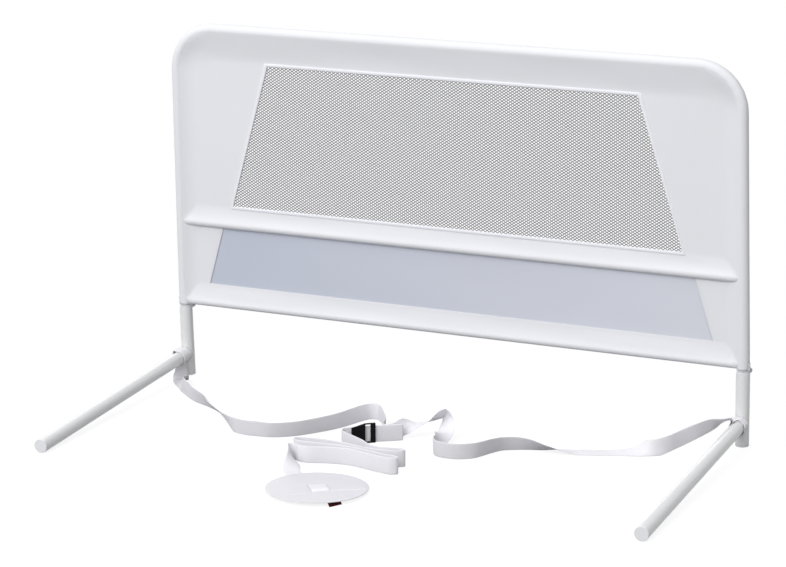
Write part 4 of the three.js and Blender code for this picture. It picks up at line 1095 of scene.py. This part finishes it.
def make_finishes():
    """Every material of the rail by name, made once."""
    scene = bpy.context.scene
    cover, knit = scene.guard_cover, scene.guard_net
    straps, hardware = scene.guard_webbing, scene.guard_hardware
    # Woven polyester: dull, its threads drawn 1.2 mm apart as real ones are too fine
    cloth = dict(Roughness=0.85, Specular_IOR_Level=0.25)
    return {
        "cover_cloth": finish(
            "woven_polyester", cover.colour, weave(1.2 * MM, 1.2 * MM),
            darker_patches(220 * MM, 0.955), 0.10, **cloth
        ),
        # Plain woven tape: coarser and whiter than the cloth
        "binding_tape": finish(
            "woven_tape", cover.binding_colour, weave(1.4 * MM, 1.4 * MM),
            darker_patches(60 * MM, 0.97), 0.15, **cloth
        ),
        # Thin polyester lining, a little bluish because light comes through it, with painted light
        # that makes it lighter towards its right end
        "window_cloth": finish(
            "thin_polyester", cover.window_colour, weave(1.0 * MM, 1.0 * MM),
            painted_light_left_to_right(cover.window_painted_lit_right, WINDOW_PAINTED_LIGHT_REACH), 0.08, **cloth
        ),
        # Knitted net of grey polyester yarn, dull with a faint sheen
        "net": finish(
            "knitted_net", knit.colour, clouds(0.8 * MM), darker_patches(90 * MM, 0.9), 0.2,
            Roughness=0.6, Sheen_Weight=0.1
        ),
        # Woven polypropylene: slanted ribs 2 mm apart and a silky shine
        "webbing": finish(
            "woven_polypropylene", straps.colour, weave(3.2 * MM, 1.9 * MM, 0.6),
            darker_patches(45 * MM, 0.93), 0.35, Roughness=0.6, Specular_IOR_Level=0.35
        ),
        # Woven tab of dark red yarn, almost without shine
        "label_cloth": finish(
            "woven_tab", straps.tab_colour, weave(1.2 * MM, 1.2 * MM),
            darker_patches(8 * MM, 0.6), 0.3, Roughness=0.75, Specular_IOR_Level=0.1
        ),
        # Spun polyester thread, matt and a little fuzzy
        "thread": finish(
            "sewing_thread", cover.thread_colour, clouds(0.4 * MM), None, 0.2, Roughness=0.6
        ),
        # Baked enamel on steel tube: glossy, with the slight orange peel of a sprayed coat
        "enamel": finish(
            "baked_enamel", hardware.enamel, clouds(1.8 * MM),
            darker_patches(120 * MM, 0.975), 0.04, Roughness=0.3
        ),
        # Moulded nylon with a spark-eroded, satin surface
        "white_moulding": finish(
            "moulded_nylon", hardware.moulding, clouds(0.5 * MM),
            darker_patches(25 * MM, 0.96), 0.12, Roughness=0.45
        ),
        # Black acetal, satin, with a fine grain
        "black_moulding": finish(
            "moulded_acetal", hardware.buckle, clouds(0.6 * MM), darker_patches(15 * MM, 0.6), 0.15,
            Roughness=0.5, Specular_IOR_Level=0.1
        ),
        # Polypropylene sheet, smooth and slightly waxy
        "plate": finish(
            "moulded_polypropylene", hardware.plate, clouds(2.5 * MM),
            darker_patches(70 * MM, 0.97), 0.05, Roughness=0.4
        ),
        # Zinc plate on steel: bright grey and a little mottled
        "bare_steel": finish(
            "zinc_plated_steel", hardware.steel, clouds(0.7 * MM),
            darker_patches(12 * MM, 0.85), 0.1, Metallic=1.0, Roughness=0.35
        ),
    }


FINISHES = {}


def material_for(slot):
    """The material of one of the record's slots."""
    if not FINISHES:
        FINISHES.update(make_finishes())
    return FINISHES[slot]


def settle(made, body, slot, *nodes, finish_of=None):
    """Puts a new piece on its body, gives it the material of its record slot, or another's, and
    hides the CAD nodes it stands for."""
    made.data.materials.append(material_for(finish_of or slot))
    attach(made, body)
    if nodes:
        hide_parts(*nodes)


def softened_edges():
    """Geometry nodes that merge a CAD node's loose triangles and shade them smooth, but for the
    edges where two faces meet at more than about 34 degrees."""
    group = bpy.data.node_groups.new("Smooth Faces", "GeometryNodeTree")
    for way in ("INPUT", "OUTPUT"):
        group.interface.new_socket("Geometry", in_out=way, socket_type="NodeSocketGeometry")
    source = add_node(group, "NodeGroupInput")
    plain = add_node(group, "GeometryNodeRemoveAttribute", {
        "Geometry": source.outputs[0], "Name": "custom_normal"
    })
    merged = add_node(group, "GeometryNodeMergeByDistance", {
        "Geometry": plain.outputs[0], "Distance": MERGE_GAP
    })
    angle = add_node(group, "GeometryNodeInputMeshEdgeAngle")
    shallow = add_node(group, "FunctionNodeCompare", {
        0: angle.outputs["Unsigned Angle"], 1: SHADED_SHARP
    }, data_type="FLOAT", operation="LESS_THAN")
    faces = add_node(group, "GeometryNodeSetShadeSmooth", {
        "Geometry": merged.outputs[0], "Shade Smooth": True
    }, domain="FACE")
    edges = add_node(group, "GeometryNodeSetShadeSmooth", {
        "Geometry": faces.outputs[0], "Shade Smooth": shallow.outputs[0]
    }, domain="EDGE")
    add_node(group, "NodeGroupOutput", {0: edges.outputs[0]})
    return group


# Operators


class GUARD_OT_camera(bpy.types.Operator):
    """Sets the camera where the photograph was taken from."""

    bl_idname = "bed_guard.camera"
    bl_label = "Camera"

    def execute(self, context):
        data = bpy.data.cameras.new("Camera")
        data.sensor_width = SENSOR_WIDTH
        data.lens = FOCAL_PIXELS * SENSOR_WIDTH / PICTURE_WIDTH
        data.shift_x, data.shift_y = LENS_SHIFT
        data.clip_end = 100
        turn = (
            Matrix.Rotation(CAMERA_AZIMUTH, 4, "Z")
            @ Matrix.Rotation(np.pi / 2 - CAMERA_ELEVATION, 4, "X")
            @ Matrix.Rotation(-CAMERA_ROLL, 4, "Z")
        )
        camera = bpy.data.objects.new("Camera", data)
        context.scene.collection.objects.link(camera)
        camera.matrix_world = Matrix.Translation(CAMERA_PLACE) @ turn
        context.scene.camera = camera
        return {"FINISHED"}


class GUARD_OT_webbing(bpy.types.Operator):
    """Lays the two straps and the tab, with the loops on the arms."""

    bl_idname = "bed_guard.webbing"
    bl_label = "Webbing"

    def execute(self, context):
        settings = context.scene.guard_webbing
        size = (settings.width, settings.thickness, settings.step)
        cross, cross_line = webbing("cross_webbing", CROSS_ROUTE, *size)
        tail, tail_line = webbing("tail_webbing", TAIL_ROUTE, *size)
        tab, _ = webbing("rim_tab", TAB_ROUTE, TAB_WIDTH, TAB_THICKNESS, TAB_STEP)
        settle(cross, "base", "webbing", "cross_strap")
        settle(tail, "base", "webbing", "tail_strap")
        settle(tab, "base", "label_cloth", "disc_label")
        for word, side, bunch, fold in ARM_LOOPS:
            loop = arm_loop(f"arm_loop_{word}", side, bunch, fold, settings)
            settle(loop, "base", "webbing", f"strap_loop_{word}")
        band, sewn = buckle_band(settings)
        settle(band, "base", "webbing", "buckle_loop")
        settle(sewn, "base", "webbing", finish_of="thread")
        disc = plate()
        settle(disc, "base", "plate", "anchor_disc")
        return {"FINISHED"}


class GUARD_OT_cover(bpy.types.Operator):
    """Sews the cover: panel, sleeve, pockets and stitching."""

    bl_idname = "bed_guard.cover"
    bl_label = "Cover"

    def execute(self, context):
        settings = context.scene.guard_cover
        body, body_area = panel(settings)
        settle(body, "guard", "cover_cloth", "fabric_cover")
        parts = [
            sleeve(settings),
            pocket("middle_pocket", MIDDLE_BAR, settings),
            pocket("hem_pocket", HEM_BAR, settings),
        ]
        for part, size in parts:
            settle(part, "guard", "cover_cloth")
        sewn = stitches("cover_stitching", cover_seams(), settings.stitch_pitch, COVER_STITCH)
        settle(sewn, "guard", "cover_cloth", finish_of="thread")
        size = (2 * (TOP_HEIGHT - HEM_BAR), 2 * POST_X)
        return {"FINISHED"}


class GUARD_OT_windows(bpy.types.Operator):
    """Fills the two windows: the net with its binding, and the lower cloth."""

    bl_idname = "bed_guard.windows"
    bl_label = "Windows"

    def execute(self, context):
        knit, knit_area = net(context.scene.guard_net)
        tape = binding()
        lower, lower_area = lower_window()
        settle(knit, "guard", "net", "mesh_window")
        settle(tape, "guard", "binding_tape", "mesh_binding")
        settle(lower, "guard", "window_cloth", "lower_window")
        return {"FINISHED"}


class GUARD_OT_hardware(bpy.types.Operator):
    """Finishes the tubes, mouldings, pins and buckle that the CAD frame brings."""

    bl_idname = "bed_guard.hardware"
    bl_label = "Hardware"

    def execute(self, context):
        radius = context.scene.guard_hardware.edge_radius
        group = softened_edges()
        slots = {part["node"]: part["material_slot"] for part in frame["record"]["subparts"]}
        for name, cad in frame["nodes"].items():
            if cad.hide_render:
                continue
            for place in cad.material_slots:
                place.material = material_for(slots[name])
            smooth = cad.modifiers.new("Smooth", "NODES")
            smooth.node_group = group
            if "spring" in name:
                continue
            edges = cad.modifiers.new("Edges", "BEVEL")
            edges.width = radius
            edges.segments = 2
            edges.limit_method = "ANGLE"
            edges.angle_limit = BEVEL_SHARP
        return {"FINISHED"}


class GUARD_OT_stage(bpy.types.Operator):
    """Builds the floor, which ends behind the posts so that the guard can hang, and the light."""

    bl_idname = "bed_guard.stage"
    bl_label = "Stage"

    def execute(self, context):
        settings = context.scene.guard_studio
        reach, edge = settings.floor_reach, settings.floor_edge
        corners = ((-reach, -reach), (reach, -reach), (reach, edge), (-reach, edge))
        slab = [box_surface(box_points(corners, -FLOOR_DEPTH, 0))]
        floor = piece("floor", slab, weld=True)
        floor.data.materials.append(paper_floor(settings))
        light_world(context.scene, settings)
        softbox("front_softbox", FRONT_SOFTBOX, settings.lamp)
        softbox("back_softbox", BACK_SOFTBOX, settings.back_lamp)
        context.scene.view_settings.view_transform = "Standard"
        return {"FINISHED"}


def softbox(name, place, power):
    """A large soft lamp that stands at a place and looks at the rail's foot."""
    lamp = bpy.data.lights.new(name, "AREA")
    lamp.shape = "RECTANGLE"
    lamp.size, lamp.size_y = SOFTBOX_SIZE
    lamp.energy = power
    box = bpy.data.objects.new(name, lamp)
    bpy.context.scene.collection.objects.link(box)
    turn = Vector(place).to_track_quat("Z", "Y").to_matrix().to_4x4()
    box.matrix_world = Matrix.Translation(place) @ turn


def seen_as(tree, unseen, seen, output):
    """Ends a tree in one shader that is seen, by a ray from the camera, a glossy ray or a
    transmitted ray, and another for all other rays."""
    rays = add_node(tree, "ShaderNodeLightPath").outputs
    either = maths(tree, "MAXIMUM", rays["Is Camera Ray"], rays["Is Glossy Ray"])
    plainly = maths(tree, "MAXIMUM", either, rays["Is Transmission Ray"])
    shaders = {0: plainly, 1: unseen.outputs[0], 2: seen.outputs[0]}
    mixed = add_node(tree, "ShaderNodeMixShader", shaders)
    add_node(tree, output, {"Surface": mixed.outputs[0]})


def paper_floor(settings):
    """White paper: to the camera it glows up to white but for the object's soft shadow, and it
    throws back light as a pale grey."""
    material = bpy.data.materials.new("floor_paper")
    tree = empty_tree(material)
    matt = add_node(tree, "ShaderNodeBsdfDiffuse", {"Color": tuple(settings.colour)})
    glow = add_node(tree, "ShaderNodeEmission", {"Strength": FLOOR_GLOW})
    lit = add_node(tree, "ShaderNodeAddShader", {0: matt.outputs[0], 1: glow.outputs[0]})
    seen_as(tree, matt, lit, "ShaderNodeOutputMaterial")
    return material


def light_world(scene, settings):
    """White to the camera. Its light grows steadily from below to above, and is stronger from
    the front, and a little from the left."""
    scene.world = bpy.data.worlds.new("studio")
    tree = empty_tree(scene.world)
    place = add_node(tree, "ShaderNodeTexCoord")
    lean = add_node(tree, "ShaderNodeVectorMath", {
        0: place.outputs["Generated"], 1: (*SKY_LEAN, settings.rise)
    }, operation="DOT_PRODUCT")
    level = maths(tree, "ADD", lean.outputs["Value"], settings.sky)
    strength = maths(tree, "MAXIMUM", level, DARKEST_SKY)
    light = add_node(tree, "ShaderNodeBackground", {"Strength": strength})
    white = add_node(tree, "ShaderNodeBackground", {"Color": (1, 1, 1, 1), "Strength": 1.0})
    seen_as(tree, light, white, "ShaderNodeOutputWorld")


OPERATORS = (
    GUARD_OT_camera,
    GUARD_OT_webbing,
    GUARD_OT_cover,
    GUARD_OT_windows,
    GUARD_OT_hardware,
    GUARD_OT_stage,
)
SETTINGS = {
    "guard_cover": GuardCoverSettings,
    "guard_net": GuardNetSettings,
    "guard_webbing": WebbingSettings,
    "guard_hardware": HardwareSettings,
    "guard_studio": StudioSettings,
}


class GUARD_PT_panel(bpy.types.Panel):
    """Lists the sizes, colours and makers of the rail's pieces."""

    bl_label = "Bed Guard"
    bl_idname = "GUARD_PT_panel"
    bl_space_type = "VIEW_3D"
    bl_region_type = "UI"
    bl_category = "Bed Guard"

    def draw(self, context):
        for name, group in SETTINGS.items():
            box = self.layout.box()
            for setting in group.__annotations__:
                box.prop(getattr(context.scene, name), setting)
        for operator in OPERATORS:
            self.layout.operator(operator.bl_idname)


CLASSES = (*SETTINGS.values(), *OPERATORS, GUARD_PT_panel)


def register():
    for each in CLASSES:
        bpy.utils.register_class(each)
    for name, group in SETTINGS.items():
        setattr(bpy.types.Scene, name, PointerProperty(type=group))


def unregister():
    for name in SETTINGS:
        delattr(bpy.types.Scene, name)
    for each in reversed(CLASSES):
        bpy.utils.unregister_class(each)


def main():
    register()
    for operator in OPERATORS:
        group, name = operator.bl_idname.split(".")
        getattr(getattr(bpy.ops, group), name)()


if __name__ == "__main__":
    main()
